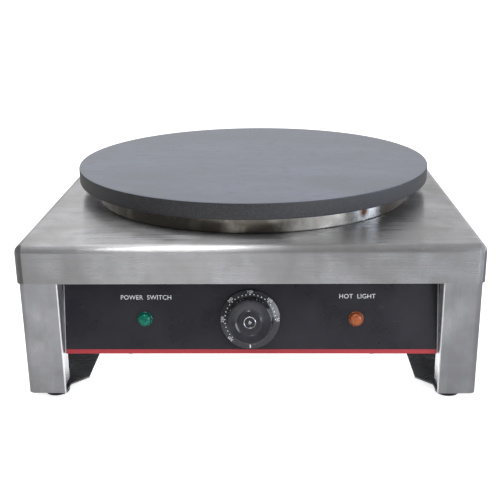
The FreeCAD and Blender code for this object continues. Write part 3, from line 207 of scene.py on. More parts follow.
def castIron(look):
    # Machined and seasoned cast iron: smooth dark top with a blue-grey sheen, grainy turned side
    material, tree, shader, place = startMaterial("seasonedCastIron", {"IOR": 1.6})
    clouds = blotches(tree, place, 60, (0.45, 1, 1), 5)  # oil seasoning, wiped from side to side
    blots = blotches(tree, place, 9, (0.6, 1, 1), 4)
    grain = blotches(tree, place, 1.3, detail=2)  # casting grain is near 0.5 mm, drawn coarser
    top = addNode(tree, "MapRange", {"Value": facing(tree, "Z"), "From Min": 0.6,
                                     "From Max": 0.9}).outputs[0]
    wiped = layered(tree, look["top"], look["topWorn"], clouds, 0.35, 0.68)
    stained = layered(tree, wiped, look["stain"], blots, 0.52, 0.75, 0.5)
    side = layered(tree, look["side"], look["sideGrain"], grain, 0.4, 0.7)
    colour = addNode(tree, "Mix", {"data_type": "RGBA", 0: top, 6: side, 7: stained})
    polished, lathed, shallow = (
        addNode(tree, "MapRange", {**usualRange, "Value": pattern, "To Min": low, "To Max": high})
        for pattern, low, high in ((clouds, 0.36, 0.47), (grain, 0.42, 0.6), (blots, 0.42, 0.58)))
    gloss = addNode(tree, "Mix", {"data_type": "FLOAT", 0: top, 2: lathed.outputs[0],
                                  3: polished.outputs[0]})
    relief = addNode(tree, "Mix", {"data_type": "FLOAT", 0: top, 2: grain, 3: shallow.outputs[0]})
    bump = addNode(tree, "Bump", {"Height": relief.outputs[0], "Distance": 0.22 * mm, "Strength": 0.5})
    tree.links.new(colour.outputs[2], shader.inputs["Base Color"])
    tree.links.new(gloss.outputs[0], shader.inputs["Roughness"])
    tree.links.new(bump.outputs[0], shader.inputs["Normal"])
    return material


def printedFilm(name, look, rough=0.29):
    # Polycarbonate film, printed on its back: a fine velvet texture with a few pale scuffs
    material, tree, shader, place = startMaterial(name, {"IOR": 1.45})
    haze = blotches(tree, place, 38)
    scuffs = blotches(tree, place, 5.5, (0.28, 1, 0.7), 6, 0.7)
    velvet = blotches(tree, place, 0.7, detail=1)
    base = layered(tree, look["ink"], look["haze"], haze)
    scuffed = layered(tree, base, look["scuff"], scuffs, 0.64, 0.76, 0.6)
    surface(tree, shader, scuffed, haze, (rough - 0.05, rough + 0.08), velvet, 0.02, 0.3)
    return material


def mouldedPlastic(name, tone, rough=0.4, grainMm=0.9, depthMm=0.02, ior=1.5):
    # Moulded thermoset or thermoplastic: even colour with a slight bloom and a spark-eroded skin
    material, tree, shader, place = startMaterial(name, {"IOR": ior})
    bloom = blotches(tree, place, 12)
    skin = blotches(tree, place, grainMm, detail=2)
    surface(tree, shader, layered(tree, *tone, bloom), bloom, (rough - 0.06, rough + 0.06),
            skin, depthMm)
    return material


def platedMetal(name, tone, rough=0.28, grainMm=1.2, depthMm=0.02):
    # Plated, drawn or turned small metal parts: uneven lustre with a fine tool texture
    material, tree, shader, place = startMaterial(name, {"Metallic": 1})
    lustre = blotches(tree, place, 6)
    tool = blotches(tree, place, grainMm, (1, 1, 0.2), 2)
    surface(tree, shader, layered(tree, *tone, lustre), lustre, (rough - 0.08, rough + 0.1),
            tool, depthMm)
    return material


def pilotLens(name, look):
    # Tinted polycarbonate lens, unlit: clear gloss over a prismed, slightly cloudy body
    material, tree, shader, place = startMaterial(name, {
        "IOR": 1.5, "Specular IOR Level": 0.35, "Transmission Weight": 0.12,
        "Coat Weight": 0.1, "Coat Roughness": 0.05,
        "Subsurface Weight": 0.25, "Subsurface Radius": (0.002, 0.002, 0.002)})
    prisms = addNode(tree, "TexVoronoi", {"Vector": place, "Scale": 1 / (2.2 * mm)})
    cloud = blotches(tree, place, 4, detail=2)
    body = layered(tree, look["body"], look["deep"], cloud)
    facets = layered(tree, body, look["light"], prisms.outputs["Distance"], 0.1, 0.6, 0.35)
    # Painted shade: the flanks are drawn darker than the crown
    normal = addNode(tree, "NewGeometry").outputs["Normal"]
    outward = (0, -cos(radians(panelTilt)), sin(radians(panelTilt)))
    crown = addNode(tree, "VectorMath", {"operation": "DOT_PRODUCT", 0: normal, 1: outward})
    flankShaded = layered(tree, look["edge"], facets, crown.outputs["Value"], 0.15, 0.75)
    gloss = addNode(tree, "MapRange", {**usualRange, "Value": cloud, "To Min": 0.12, "To Max": 0.2})
    tree.links.new(flankShaded, shader.inputs["Base Color"])
    tree.links.new(gloss.outputs[0], shader.inputs["Roughness"])
    return material


def softSurface(name, tone, grainMm, rough, depthMm):
    # Rubber, ceramic fibre or cable covering: matt, with the grain of its kind
    material, tree, shader, place = startMaterial(name, {"IOR": 1.5, "Specular IOR Level": 0.35})
    grain = blotches(tree, place, grainMm, detail=4)
    dust = blotches(tree, place, 14)
    surface(tree, shader, layered(tree, *tone, dust), grain, (rough - 0.06, rough + 0.06),
            grain, depthMm, 0.5)
    return material


collar = {"radius": 180, "foot": 168, "low": 163, "high": 181.9, "sheet": 1, "seamAngle": -50,
          "beadWidth": 1.6, "beadRise": 0.35, "beadRipple": 0.12, "beadRipples": 11}
# A patch is its turn about the ring's axis, its full and its last reach in mm, and its strength
# The darker colour is painted shade on the ring's left side and in the painted shadow patch, together
# with some cloudy smoke
collarLook = {"clean": "#d8d6ce", "shadedAndSmoked": "#6d6860", "tint": "#5a3f28", "paintedShadeLeftOf": (12, 75),
              "paintedShadowPatch": (-31, 28, 44, 1.1), "tintPatch": (collar["seamAngle"], 2.7, 9, 1),
              "patchHeight": 174}
coverLook = {"clean": "#b6b6b9", "handled": "#a9a8a9", "line": "#c2c2c4", "band": "#9d9c9d",
             "smudge": "#848280", "weld": "#989798",
             "grain": "X", "shine": 0.3, "streak": 0.06, "welded": 0.8}
sideLook = {"clean": "#b2b2b5", "handled": "#9d9da0", "line": "#bcbcbe", "band": "#949497",
            "smudge": "#7e7d7e", "weld": "#8d8d90",
            "grain": "Z", "shine": 0.28, "streak": 0.035, "welded": 0}
plateLook = {"top": "#4c5160", "topWorn": "#6b717f", "stain": "#4a4648", "side": "#141415",
             "sideGrain": "#34353b"}
blackInk = {"ink": "#1c1b22", "haze": "#232229", "scuff": "#5a5962"}
redInk = {"ink": "#a8323a", "haze": "#9c2d34", "scuff": "#b75a5e"}
whiteInk = {"ink": "#e2e2e5", "haze": "#d6d6da", "scuff": "#bcbcc0"}
# The edge colours are painted shade for the flanks of the lenses
greenTint = {"body": "#006857", "deep": "#005245", "light": "#088a73", "edge": "#00372e"}
amberTint = {"body": "#a6522e", "deep": "#8a4226", "light": "#c2794a", "edge": "#552313"}
finish = {
    "cover": brushedSteel("brushedStainlessCover", coverLook),
    "side": brushedSteel("brushedStainlessSide", sideLook),
    "mill": millSteel("millFinishStainless", "#a3a4a6", "#8b8c8f"),
    "pan": millSteel("millFinishStainlessPan", "#9a9b9c", "#808184", 0.44),
    # Near-white finish that paints a highlight along the leg folds and the bare panel edges
    "fold": platedMetal("paintedHighlightFoldLine", ("#f2f2f4", "#e6e6e9"), 0.5),
    "collar": collarSteel(collarLook),
    "iron": castIron(plateLook),
    "film": printedFilm("blackPrintedFilm", blackInk),
    "redFilm": printedFilm("redPrintedFilm", redInk, 0.38),
    "ink": printedFilm("whiteScreenInk", whiteInk, 0.5),
    "knob": mouldedPlastic("blackPhenolicKnob", ("#222227", "#2a2a30"), 0.18, 0.8, 0.012, 1.6),
    "chrome": platedMetal("polishedChrome", ("#d8d8de", "#c6c6ce"), 0.16, 0.9, 0.006),
    "brass": platedMetal("machinedBrass", ("#b5914b", "#a5803e"), 0.3),
    "spindle": platedMetal("turnedSteelSpindle", ("#a9a9ab", "#97979a"), 0.3),
    "zinc": platedMetal("brightZincPlate", ("#b7b9bd", "#a3a6a6"), 0.3),
    "tinned": platedMetal("tinnedBrassTab", ("#c5c1b0", "#b3ae99"), 0.33),
    "copper": platedMetal("drawnCopper", ("#b9714b", "#a4603c"), 0.32),
    "sheath": platedMetal("oxidisedElementSheath", ("#6a6763", "#514d49"), 0.5, 1.5, 0.04),
    "green": pilotLens("greenPilotLens", greenTint),
    "amber": pilotLens("amberPilotLens", amberTint),
    "nylon": mouldedPlastic("blackNylon", ("#1c1c1d", "#262627"), 0.45),
    "brownMoulding": mouldedPlastic("brownPhenolic", ("#4a3b33", "#3e312a")),
    "creamMoulding": mouldedPlastic("creamPolyamide", ("#e2dfd4", "#d3cfc2"), 0.42),
    "ceramic": mouldedPlastic("whiteSteatite", ("#ece9e0", "#dedacf"), 0.3, 0.7, 0.02, 1.6),
    "fibre": softSurface("ceramicFibreBoard", ("#e6e2d9", "#d6d1c6"), 1.6, 0.85, 0.2),
    "brownLead": softSurface("brownSiliconeLead", ("#6b3f26", "#5c3520"), 0.8, 0.5, 0.03),
    "blueLead": softSurface("blueSiliconeLead", ("#2a5aa0", "#234d8c"), 0.8, 0.5, 0.03),
    "earthLead": softSurface("greenYellowLead", ("#6f9c2f", "#618b26"), 0.8, 0.5, 0.03),
    "rubber": softSurface("blackRubber", ("#1b1b1c", "#252526"), 0.8, 0.62, 0.05),
}
print("materials made:", len(finish))


# Modelling helpers

def deselectAll():
    if bpy.context.object and bpy.context.object.mode != "OBJECT":
        bpy.ops.object.mode_set(mode="OBJECT")
    bpy.ops.object.select_all(action="DESELECT")


def useOnly(piece):
    deselectAll()
    piece.select_set(True)
    bpy.context.view_layer.objects.active = piece


def namePiece(name):
    piece = bpy.context.object
    piece.name = piece.data.name = name
    bpy.ops.object.transform_apply(location=True, rotation=True, scale=True)
    return piece


def pickFaces(piece, test):
    # test gets each face's middle and direction
    useOnly(piece)
    bpy.ops.object.mode_set(mode="EDIT")
    bpy.ops.mesh.select_mode(type="FACE")
    bpy.ops.mesh.select_all(action="DESELECT")
    mesh = bmesh.from_edit_mesh(piece.data)
    for face in mesh.faces:
        face.select_set(bool(test(face.calc_center_median() / mm, face.normal)))
    bmesh.update_edit_mesh(piece.data)


def pickEdges(piece, test):
    # test gets the edge's two ends
    useOnly(piece)
    bpy.ops.object.mode_set(mode="EDIT")
    bpy.ops.mesh.select_mode(type="EDGE")
    bpy.ops.mesh.select_all(action="DESELECT")
    mesh = bmesh.from_edit_mesh(piece.data)
    for edge in mesh.edges:
        edge.select_set(bool(test(*(corner.co / mm for corner in edge.verts))))
    bmesh.update_edit_mesh(piece.data)


def tidyMesh(piece):
    useOnly(piece)
    bpy.ops.object.mode_set(mode="EDIT")
    bpy.ops.mesh.select_all(action="SELECT")
    bpy.ops.mesh.remove_doubles(threshold=0.002 * mm)
    bpy.ops.mesh.normals_make_consistent(inside=False)
    bpy.ops.object.mode_set(mode="OBJECT")


def applyModifier(piece, kind, **settings):
    useOnly(piece)
    modifier = piece.modifiers.new(kind.lower(), kind)
    for name, setting in settings.items():
        setattr(modifier, name, setting)
    bpy.ops.object.modifier_apply(modifier=modifier.name)


def softenEdges(piece, widthMm, segments=3, angle=32):
    if widthMm:
        applyModifier(piece, "BEVEL", width=widthMm * mm, segments=segments, limit_method="ANGLE",
                      angle_limit=radians(angle), use_clamp_overlap=True)
    useOnly(piece)
    bpy.ops.object.shade_smooth_by_angle(angle=radians(40))
    applyModifier(piece, "WEIGHTED_NORMAL", keep_sharp=True, weight=80)


def turned(name, profile, sides=96, fill="NGON"):
    # Solid of revolution about Z: a disc at the first radius and height, extruded, scaled to each next
    deselectAll()
    radius, height = profile[0]
    bpy.ops.mesh.primitive_circle_add(vertices=sides, radius=radius * mm, fill_type=fill,
                                      location=(0, 0, height * mm))
    piece = namePiece(name)
    bpy.ops.object.mode_set(mode="EDIT")
    bpy.ops.mesh.select_all(action="SELECT")
    for nextRadius, nextHeight in profile[1:]:
        bpy.ops.mesh.extrude_region_move(
            TRANSFORM_OT_translate={"value": (0, 0, (nextHeight - height) * mm)})
        bpy.ops.transform.resize(value=(nextRadius / radius, nextRadius / radius, 1),
                                 center_override=(0, 0, 0))
        radius, height = nextRadius, nextHeight
    tidyMesh(piece)
    return piece


def turnedRing(name, profile, sides=96):
    # The same from an open circle, round its section and back to the start
    return turned(name, profile + profile[:1], sides, "NOTHING")


def cutWith(piece, cutters):
    for cutter in cutters:
        applyModifier(piece, "BOOLEAN", operation="DIFFERENCE", solver="EXACT", object=cutter)
        bpy.data.objects.remove(cutter)


def joined(name, parts):
    useOnly(parts[0])
    for part in parts:
        part.select_set(True)
    bpy.ops.object.join()
    return namePiece(name)


def copied(piece, name, shift):
    twin = piece.copy()
    twin.data = piece.data.copy()
    twin.name = twin.data.name = name
    bpy.context.scene.collection.objects.link(twin)
    twin.data.transform(Matrix.Translation(Vector(shift) * mm))
    return twin


def seat(piece, matrix):
    useOnly(piece)
    piece.matrix_world = matrix
    bpy.ops.object.transform_apply(location=True, rotation=True, scale=True)


def dress(piece, material, body, slot, *nodes):
    piece.data.materials.clear()
    piece.data.materials.append(material)
    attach(piece, body)
    if nodes:
        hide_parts(*nodes)
    return piece


def fromPart(node, name, edgeMm, fold=None):
    # A copy of a sheet or moulded part, merged into whole faces so that its edges can be eased
    deselectAll()
    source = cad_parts[node]
    piece = bpy.data.objects.new(name, source.data.copy())
    bpy.context.scene.collection.objects.link(piece)
    useOnly(piece)
    bpy.ops.object.mode_set(mode="EDIT")
    bpy.ops.mesh.select_all(action="SELECT")
    bpy.ops.mesh.remove_doubles(threshold=0.001 * mm)
    bpy.ops.mesh.dissolve_limited(angle_limit=radians(0.6))
    bpy.ops.object.mode_set(mode="OBJECT")
    if fold == legFold:
        pickEdges(piece, lambda a, b: abs(a.z - b.z) > fold["length"] and atFold(a, fold["slack"]))
        bpy.ops.mesh.bevel(offset=fold["bevel"] * mm, segments=4, affect="EDGES")
    elif fold:
        for x in (-fold["x"], fold["x"]):
            bpy.ops.object.mode_set(mode="EDIT")
            bpy.ops.mesh.select_all(action="SELECT")
            bpy.ops.mesh.bisect(plane_co=(x * mm, 0, 0), plane_no=(1, 0, 0))
    bpy.ops.object.mode_set(mode="OBJECT")
    softenEdges(piece, edgeMm, 2, 45)
    return piece


panelFoot = (0, -208.4, 48)  # where the panel's printed face starts, at its lower edge
panelFrame = (Matrix.Translation(Vector(panelFoot) * mm)
              @ Matrix.Rotation(radians(90 - panelTilt), 4, "X"))


def onPanel(x=0, rise=controlRise, out=0):
    return panelFrame @ Matrix.Translation(Vector((x, rise, out)) * mm)


# Griddle plate

plate = {"radius": 199.5, "low": 182.5, "high": 199.5, "chamfer": 1.3, "lowRound": 1.8,
         "bossRadius": 11, "bossDrop": 8.5, "bossRound": 0.8, "bossCircle": 153,
         "bossAngles": (30, 150, 270)}


def makePlate():
    rim = plate["radius"]
    low, high = plate["low"], plate["high"]
    body = turned("griddle_plate_body", [
        (rim - 14, low), (rim - 4, low), (rim - plate["lowRound"], low), (rim - 0.5, low + 0.6),
        (rim, low + plate["lowRound"]), (rim, high - plate["chamfer"]),
        (rim - 0.35, high - 0.35), (rim - plate["chamfer"], high), (rim - 6, high)], 256)
    bosses = []
    for angle in plate["bossAngles"]:
        boss = turned("boss", [(plate["bossRadius"] - plate["bossRound"], low - plate["bossDrop"]),
                               (plate["bossRadius"], low - plate["bossDrop"] + plate["bossRound"]),
                               (plate["bossRadius"], low + 1)], 48)
        spot = Vector((cos(radians(angle)), sin(radians(angle)), 0)) * plate["bossCircle"] * mm
        seat(boss, Matrix.Translation(spot))
        bosses.append(boss)
    piece = joined("cast_griddle_plate", [body] + bosses)
    softenEdges(piece, 0)
    dress(piece, finish["iron"], "chassis", "cast_iron", "griddle_plate")


makePlate()
print("griddle plate made")


# Collar under the plate

def makeCollar():
    outer, inner = collar["radius"], collar["radius"] - collar["sheet"]
    low, high, sheet = collar["low"], collar["high"], collar["sheet"]
    ring = turnedRing("collar_ring", [
        (collar["foot"], low), (outer - 2, low), (outer - 0.6, low + 0.6), (outer, low + 2),
        (outer, high), (inner, high), (inner, low + 2), (inner - 1, low + sheet),
        (collar["foot"], low + sheet)], 256)
    softenEdges(ring, 0)
    # Weld bead along the seam of the rolled strip
    deselectAll()
    bpy.ops.mesh.primitive_grid_add(x_subdivisions=6, y_subdivisions=30, size=1)
    bead = namePiece("collar_bead")
    height = high - low - 1
    for corner in bead.data.vertices:
        across, up = corner.co.x, corner.co.y
        swell = 1 + collar["beadRipple"] * sin(up * 2 * pi * collar["beadRipples"])
        crown = collar["beadRise"] * cos(across * pi) * swell
        corner.co = Vector((outer + crown - 0.05, across * collar["beadWidth"] * swell,
                            low + height / 2 + 0.8 + up * height)) * mm
    applyModifier(bead, "SOLIDIFY", thickness=0.3 * mm, offset=-1)
    seat(bead, Matrix.Rotation(radians(collar["seamAngle"]), 4, "Z"))
    softenEdges(bead, 0)
    piece = joined("rolled_collar", [ring, bead])
    tidyMesh(piece)
    dress(piece, finish["collar"], "chassis", "brushed_stainless", "plate_collar")


makeCollar()
print("collar made")


# Top cover

cover = {"width": 450, "depth": 436, "top": 163, "apron": 38, "sheet": 1.5, "bend": 8,
         "corner": 8.5, "hole": 166, "cutter": 20}


def makeCover():
    halfX, halfY, top = cover["width"] / 2, cover["depth"] / 2, cover["top"]
    deselectAll()
    bpy.ops.mesh.primitive_cube_add(size=1, location=(0, 0, (top - cover["apron"] / 2) * mm),
                                    scale=(2 * halfX * mm, 2 * halfY * mm, cover["apron"] * mm))
    piece = namePiece("folded_cover")
    pickFaces(piece, lambda middle, direction: direction.z < -0.9)  # open below
    bpy.ops.mesh.delete(type="FACE")
    pickEdges(piece, lambda a, b: abs(a.z - b.z) > cover["apron"] / 2)  # the upright corners
    bpy.ops.mesh.bevel(offset=cover["corner"] * mm, segments=10, affect="EDGES")
    pickEdges(piece, lambda a, b: min(a.z, b.z) > top - 0.01)  # the bend round the top
    bpy.ops.mesh.bevel(offset=cover["bend"] * mm, segments=10, affect="EDGES")
    tidyMesh(piece)
    applyModifier(piece, "SOLIDIFY", thickness=cover["sheet"] * mm, offset=-1, use_even_offset=True)
    deselectAll()
    bpy.ops.mesh.primitive_cylinder_add(vertices=192, radius=cover["hole"] * mm,
                                        depth=cover["cutter"] * mm, location=(0, 0, top * mm))
    cutWith(piece, [namePiece("hole_cutter")])
    softenEdges(piece, 0.3, 2, 50)
    dress(piece, finish["cover"], "chassis", "brushed_stainless", "top_cover")


makeCover()
print("top cover made")


# Folded side panels, front and rear panels, base pan, printed face

legFold = {"x": 185, "y": 216, "bevel": 1.3, "length": 100, "slack": 0.05}
printEdge = {"x": 183.4}  # the front panel is bare from here to its sides
folds = {"left_side_panel": legFold, "right_side_panel": legFold, "front_panel": printEdge}


def atFold(spot, reach):
    return abs(abs(spot.x) - legFold["x"]) < reach and abs(abs(spot.y) - legFold["y"]) < reach


def paintFoldHighlights(piece, fold):
    # Painted highlight: the folds of the legs and the bare edges of the front panel get a near-white
    # finish, so that they show as thin bright lines
    piece.data.materials.append(finish["fold"])
    for face in piece.data.polygons:
        spot = face.center / mm
        if fold == legFold:
            slanted = 0.05 < abs(face.normal.x) < 0.998
            pale = slanted and atFold(spot, fold["bevel"] - fold["slack"])
        else:
            pale = abs(spot.x) > fold["x"]
        face.material_index = int(pale)


for node, name, edge, material, slot in (
        ("left_side_panel", "left_folded_side", 0.3, "side", "brushed_stainless"),
        ("right_side_panel", "right_folded_side", 0.3, "side", "brushed_stainless"),
        ("front_panel", "folded_front_panel", 0.25, "mill", "plain_stainless"),
        ("rear_panel", "folded_rear_panel", 0.25, "mill", "plain_stainless"),
        ("base_pan", "folded_base_pan", 0.25, "pan", "plain_stainless"),
        ("panel_overlay", "printed_overlay", 0.12, "film", "overlay_film"),
        ("red_stripe", "printed_stripe", 0.12, "redFilm", "red_film"),
        ("cable_gland", "moulded_gland", 0.35, "nylon", "black_nylon"),
        ("gland_locknut", "moulded_locknut", 0.3, "nylon", "black_nylon")):
    fold = folds.get(node)
    piece = dress(fromPart(node, name, edge, fold), finish[material], "chassis", slot, node)
    if fold:
        paintFoldHighlights(piece, fold)
print("sheet parts made")


# Knob with its printed skirt

knob = {"gap": 2.6, "skirt": 29.5, "edge": 3.8, "shoulder": 5.4, "grip": 22.8, "gripTop": 22,
        "top": 21.4, "dish": 19.8, "hub": 11.5, "hubTop": 21, "flutes": 8, "fluteRadius": 6,
        "fluteDepth": 1.8, "fluteLow": 9.4, "bore": 5.42, "boreTop": 16.1, "cutter": 30,
        "skirtSlope": 16,
        "numerals": ((90, "50"), (45, "100"), (0, "150"), (315, "200"), (270, "250"), (225, "300")),
        "numeralSize": 4.2, "numeralRadius": 27.2, "numeralSpacing": 0.92,
        "scaleFrom": 225, "scaleSweep": 225, "dotStep": 9, "dotRadius": 24.9, "dotSize": 0.6,
        "tickFrom": 24.9, "tickTo": 28.6, "tickWidth": 1.2}


def makeKnob():
    grip, hub, rim = knob["grip"], knob["hub"], knob["gripTop"]
    body = turned("knob_body", [
        (knob["skirt"] - 0.4, knob["gap"]), (knob["skirt"], knob["gap"] + 0.4),
        (knob["skirt"], knob["edge"] - 0.3), (knob["skirt"] - 0.3, knob["edge"]),
        (grip + 1, knob["shoulder"]), (grip + 0.3, knob["shoulder"] + 0.3),
        (grip, knob["shoulder"] + 1), (rim, knob["top"] - 1.2), (rim - 0.35, knob["top"] - 0.35),
        (rim - 1.2, knob["top"]), (rim - 2.2, knob["top"]), (rim - 2.9, knob["top"] - 0.2),
        (hub + 3, knob["top"] - 0.5), (hub + 1.3, knob["dish"] + 0.2), (hub + 0.8, knob["dish"]),
        (hub + 0.3, knob["dish"] + 0.1), (hub - 0.1, knob["dish"] + 0.5),
        (hub - 0.5, knob["hubTop"] - 0.3), (hub - 0.9, knob["hubTop"])], 160)
    cutters = []
    reach = (grip - knob["fluteDepth"] + knob["fluteRadius"]) * mm
    height = (knob["fluteLow"] + knob["cutter"] / 2) * mm
    for flute in range(knob["flutes"]):
        turn = radians(360 * flute / knob["flutes"])
        deselectAll()
        bpy.ops.mesh.primitive_cylinder_add(
            vertices=64, radius=knob["fluteRadius"] * mm, depth=knob["cutter"] * mm,
            location=(reach * sin(turn), reach * cos(turn), height))
        cutters.append(namePiece("flute_cutter"))
    deselectAll()
    bpy.ops.mesh.primitive_cylinder_add(
        vertices=64, radius=knob["bore"] * mm, depth=knob["cutter"] * mm,
        location=(0, 0, (knob["boreTop"] - knob["cutter"] / 2) * mm))
    cutters.append(namePiece("bore_cutter"))
    cutWith(body, cutters)
    softenEdges(body, 0.25, 2, 38)
    seat(body, onPanel())
    body.name = body.data.name = "moulded_knob"
    dress(body, finish["knob"], "control_knob", "knob_plastic", "knob")


def skirtHeight(radius):
    slope = (knob["shoulder"] - knob["edge"]) / (knob["skirt"] - 0.3 - knob["grip"] - 1)
    return knob["edge"] + (knob["skirt"] - 0.3 - radius) * slope


def skirtPlace(angle, radius, lift=0.03):
    # Clockwise from the top, flat on the sloping skirt, with up pointing outwards
    return (onPanel() @ Matrix.Rotation(radians(-angle), 4, "Z")
            @ Matrix.Translation(Vector((0, radius, skirtHeight(radius) + lift)) * mm)
            @ Matrix.Rotation(radians(-knob["skirtSlope"]), 4, "X"))


inkRise = 0.05  # printed ink stands this far up, drawn thicker than it is so that it shows


def printedText(words, sizeMm, spacing, place):
    deselectAll()
    bpy.ops.object.text_add()
    text = bpy.context.object
    text.data.body = words
    text.data.size = sizeMm * mm
    text.data.space_character = spacing
    text.data.align_x, text.data.align_y = "CENTER", "CENTER"
    text.data.extrude = inkRise * mm
    text.data.resolution_u = 3
    bpy.ops.object.convert(target="MESH")
    tidyMesh(bpy.context.object)
    seat(bpy.context.object, place)
    return bpy.context.object


def makeDial():
    marks = [printedText(words, knob["numeralSize"], knob["numeralSpacing"],
                         skirtPlace(angle, knob["numeralRadius"]))
             for angle, words in knob["numerals"]]
    for step in range(int(knob["scaleSweep"] / knob["dotStep"]) + 1):
        dot = turned("dot", [(knob["dotSize"], -inkRise), (knob["dotSize"], 0.04),
                             (knob["dotSize"] - 0.06, 0.06)], 16)
        seat(dot, skirtPlace(knob["scaleFrom"] + step * knob["dotStep"], knob["dotRadius"]))
        marks.append(dot)
    deselectAll()
    bpy.ops.mesh.primitive_cube_add(size=1, scale=(
        knob["tickWidth"] * mm, (knob["tickTo"] - knob["tickFrom"]) * mm, 0.12 * mm))
    tick = namePiece("tick")
    softenEdges(tick, 0.03, 2)
    seat(tick, skirtPlace(180, (knob["tickFrom"] + knob["tickTo"]) / 2))
    piece = joined("dial_marks", marks + [tick])
    dress(piece, finish["ink"], "control_knob", "knob_plastic")


badge = {"radius": 6, "low": 20.9, "high": 21.9, "ring": 0.9, "recess": 0.35, "dot": 1.3}


def makeBadge():
    outer, inner = badge["radius"], badge["radius"] - badge["ring"]
    high, floor = badge["high"], badge["high"] - badge["recess"]
    disc = turned("chrome_badge", [
        (outer, badge["low"]), (outer, high - 0.25), (outer - 0.25, high), (inner + 0.15, high),
        (inner, high - 0.1), (inner - 0.1, floor), (badge["dot"] + 0.2, floor),
        (badge["dot"], floor + 0.1), (badge["dot"] - 0.1, high - 0.1), (badge["dot"] - 0.3, high)], 96)
    softenEdges(disc, 0)
    seat(disc, onPanel())
    dress(disc, finish["chrome"], "control_knob", "badge_chrome", "knob_badge")
    field = turnedRing("badge_field", [
        (inner - 0.12, floor + 0.02), (inner - 0.12, floor + 0.1), (badge["dot"] + 0.25, floor + 0.1),
        (badge["dot"] + 0.25, floor + 0.02)], 96)
    softenEdges(field, 0)
    seat(field, onPanel())
    dress(field, finish["knob"], "control_knob", "knob_plastic")


makeKnob()
makeDial()
makeBadge()
print("knob made")


# Pilot lamp lenses

lens = {"offset": 104, "rim": 7.5, "seat": 0.6, "rimTop": 2, "dome": 6.6, "top": 7.1, "round": 4}


def makeLens(side, colour):
    dome, top, bend = lens["dome"], lens["top"], lens["round"]
    steps = [(dome - bend * (1 - cos(radians(a))), top - bend * (1 - sin(radians(a))))
             for a in range(0, 91, 9)]
    piece = turned(f"{colour}_pilot_lens", [
        (lens["rim"], lens["seat"]), (lens["rim"], lens["rimTop"] - 0.6),
        (lens["rim"] - 0.2, lens["rimTop"] - 0.15), (lens["rim"] - 0.6, lens["rimTop"]),
        (dome + 0.3, lens["rimTop"]), (dome, lens["rimTop"] + 0.3)] + steps
        + [(dome - bend - 1, top + 0.05)], 64)
    softenEdges(piece, 0)
    seat(piece, onPanel(side * lens["offset"]))
    dress(piece, finish[colour], "chassis", f"lens_{colour}", f"{colour}_lamp_lens")


makeLens(-1, "green")
makeLens(1, "amber")
print("lenses made")


# Printed words above the lamps

label = {"size": 6.3, "spacing": 1.04, "filmTop": 0.6,
         "words": (("POWER  SWITCH", -102.8, 56.2), ("HOT  LIGHT", 105.1, 57.1))}


def makeLabels():
    parts = [printedText(words, label["size"], label["spacing"], onPanel(x, rise, label["filmTop"]))
             for words, x, rise in label["words"]]
    piece = joined("panel_labels", parts)
    dress(piece, finish["ink"], "chassis", "overlay_film")


makeLabels()
print("labels made")


# Rubber feet

foot = {"x": 199, "y": 195, "toe": 12, "top": 13.5, "height": 8, "recess": 6, "recessDepth": 4.5,
        "hole": 2.7}


def makeFeet():
    ring = turnedRing("foot_master", [
        (foot["recess"], 0.5), (foot["recess"] + 0.5, 0), (foot["toe"] - 1, 0),
        (foot["toe"] - 0.3, 0.3), (foot["toe"], 1), (foot["top"], foot["height"]),
        (foot["hole"], foot["height"]), (foot["hole"], foot["recessDepth"]),
        (foot["recess"] - 0.3, foot["recessDepth"]),
        (foot["recess"], foot["recessDepth"] - 0.3)], 64)
    softenEdges(ring, 0)
    for end, y in (("front", -1), ("rear", 1)):
        for side, x in (("left", -1), ("right", 1)):
            piece = copied(ring, f"rubber_foot_{end}_{side}", (x * foot["x"], y * foot["y"], 0))
            dress(piece, finish["rubber"], "chassis", "foot_rubber", f"foot_{end}_{side}")
    bpy.data.objects.remove(ring)


makeFeet()
print("feet made")


# The frame's own parts keep their shape and get their finish, also those that a dressed piece replaces

partFinish = {
    "mill": ("heat_bowl", "reflector_disc", "element_clamp", "bulb_clip"),
    "zinc": ("plate_studs", "clamp_nuts", "stud_nuts", "spacer_sleeves", "rim_screws", "rim_nuts",
             "thermostat_screws", "pole_screws", "earth_stud", "earth_nut", "foot_screws", "foot_nuts",
             "cover_studs", "cover_nuts", "pan_screws"),
    "sheath": ("heating_element",),
    "ceramic": ("element_bushes",),
    "tinned": ("element_tabs", "thermostat_tabs", "lamp_pins"),
    "copper": ("sensor_bulb", "capillary_tube"),
    "fibre": ("insulation_disc",),
    "brownMoulding": ("thermostat_body",),
    "creamMoulding": ("terminal_block",),
    "spindle": ("thermostat_spindle",),
    "brass": ("knob_insert",),
    "nylon": ("green_lamp_body", "amber_lamp_body", "lamp_clips", "cable_gland", "gland_locknut"),
    "brownLead": ("live_lead", "element_lead"),
    "blueLead": ("neutral_lead",),
    "earthLead": ("earth_lead",),
    "side": ("left_side_panel", "right_side_panel"),
    "cover": ("top_cover",),
    "pan": ("front_panel", "rear_panel", "base_pan"),
    "collar": ("plate_collar",),
    "iron": ("griddle_plate",),
    "film": ("panel_overlay",),
    "redFilm": ("red_stripe",),
    "knob": ("knob",),
    "chrome": ("knob_badge",),
    "green": ("green_lamp_lens",),
    "amber": ("amber_lamp_lens",),
    "rubber": ("foot_front_left", "foot_front_right", "foot_rear_left", "foot_rear_right"),
}
for kind, nodes in partFinish.items():
    for node in nodes:
        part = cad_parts[node]
        part.data.materials.clear()
        part.data.materials.append(finish[kind])
print("parts finished")


# Floor, light and camera

# Metal reflects a darker floor with a painted pool of light before the panel, and less of the room than
# matt parts
studio = {"floorSize": 60, "floorColour": "#f2f2f2", "floorInMetal": "#b0b0b0",
          "paintedLightPoolInMetal": "#f0f0f0", "paintedLightPool": (-0.05, -0.5, 0), "paintedLightPoolFade": (0.1, 0.42),
          "floorGlow": 0.7, "glowInMetal": 0.16, "open": 0.72, "behindCamera": 0.24,
          "backdropLeft": 1.12, "backdropRight": 1.03, "ceiling": 0.62}


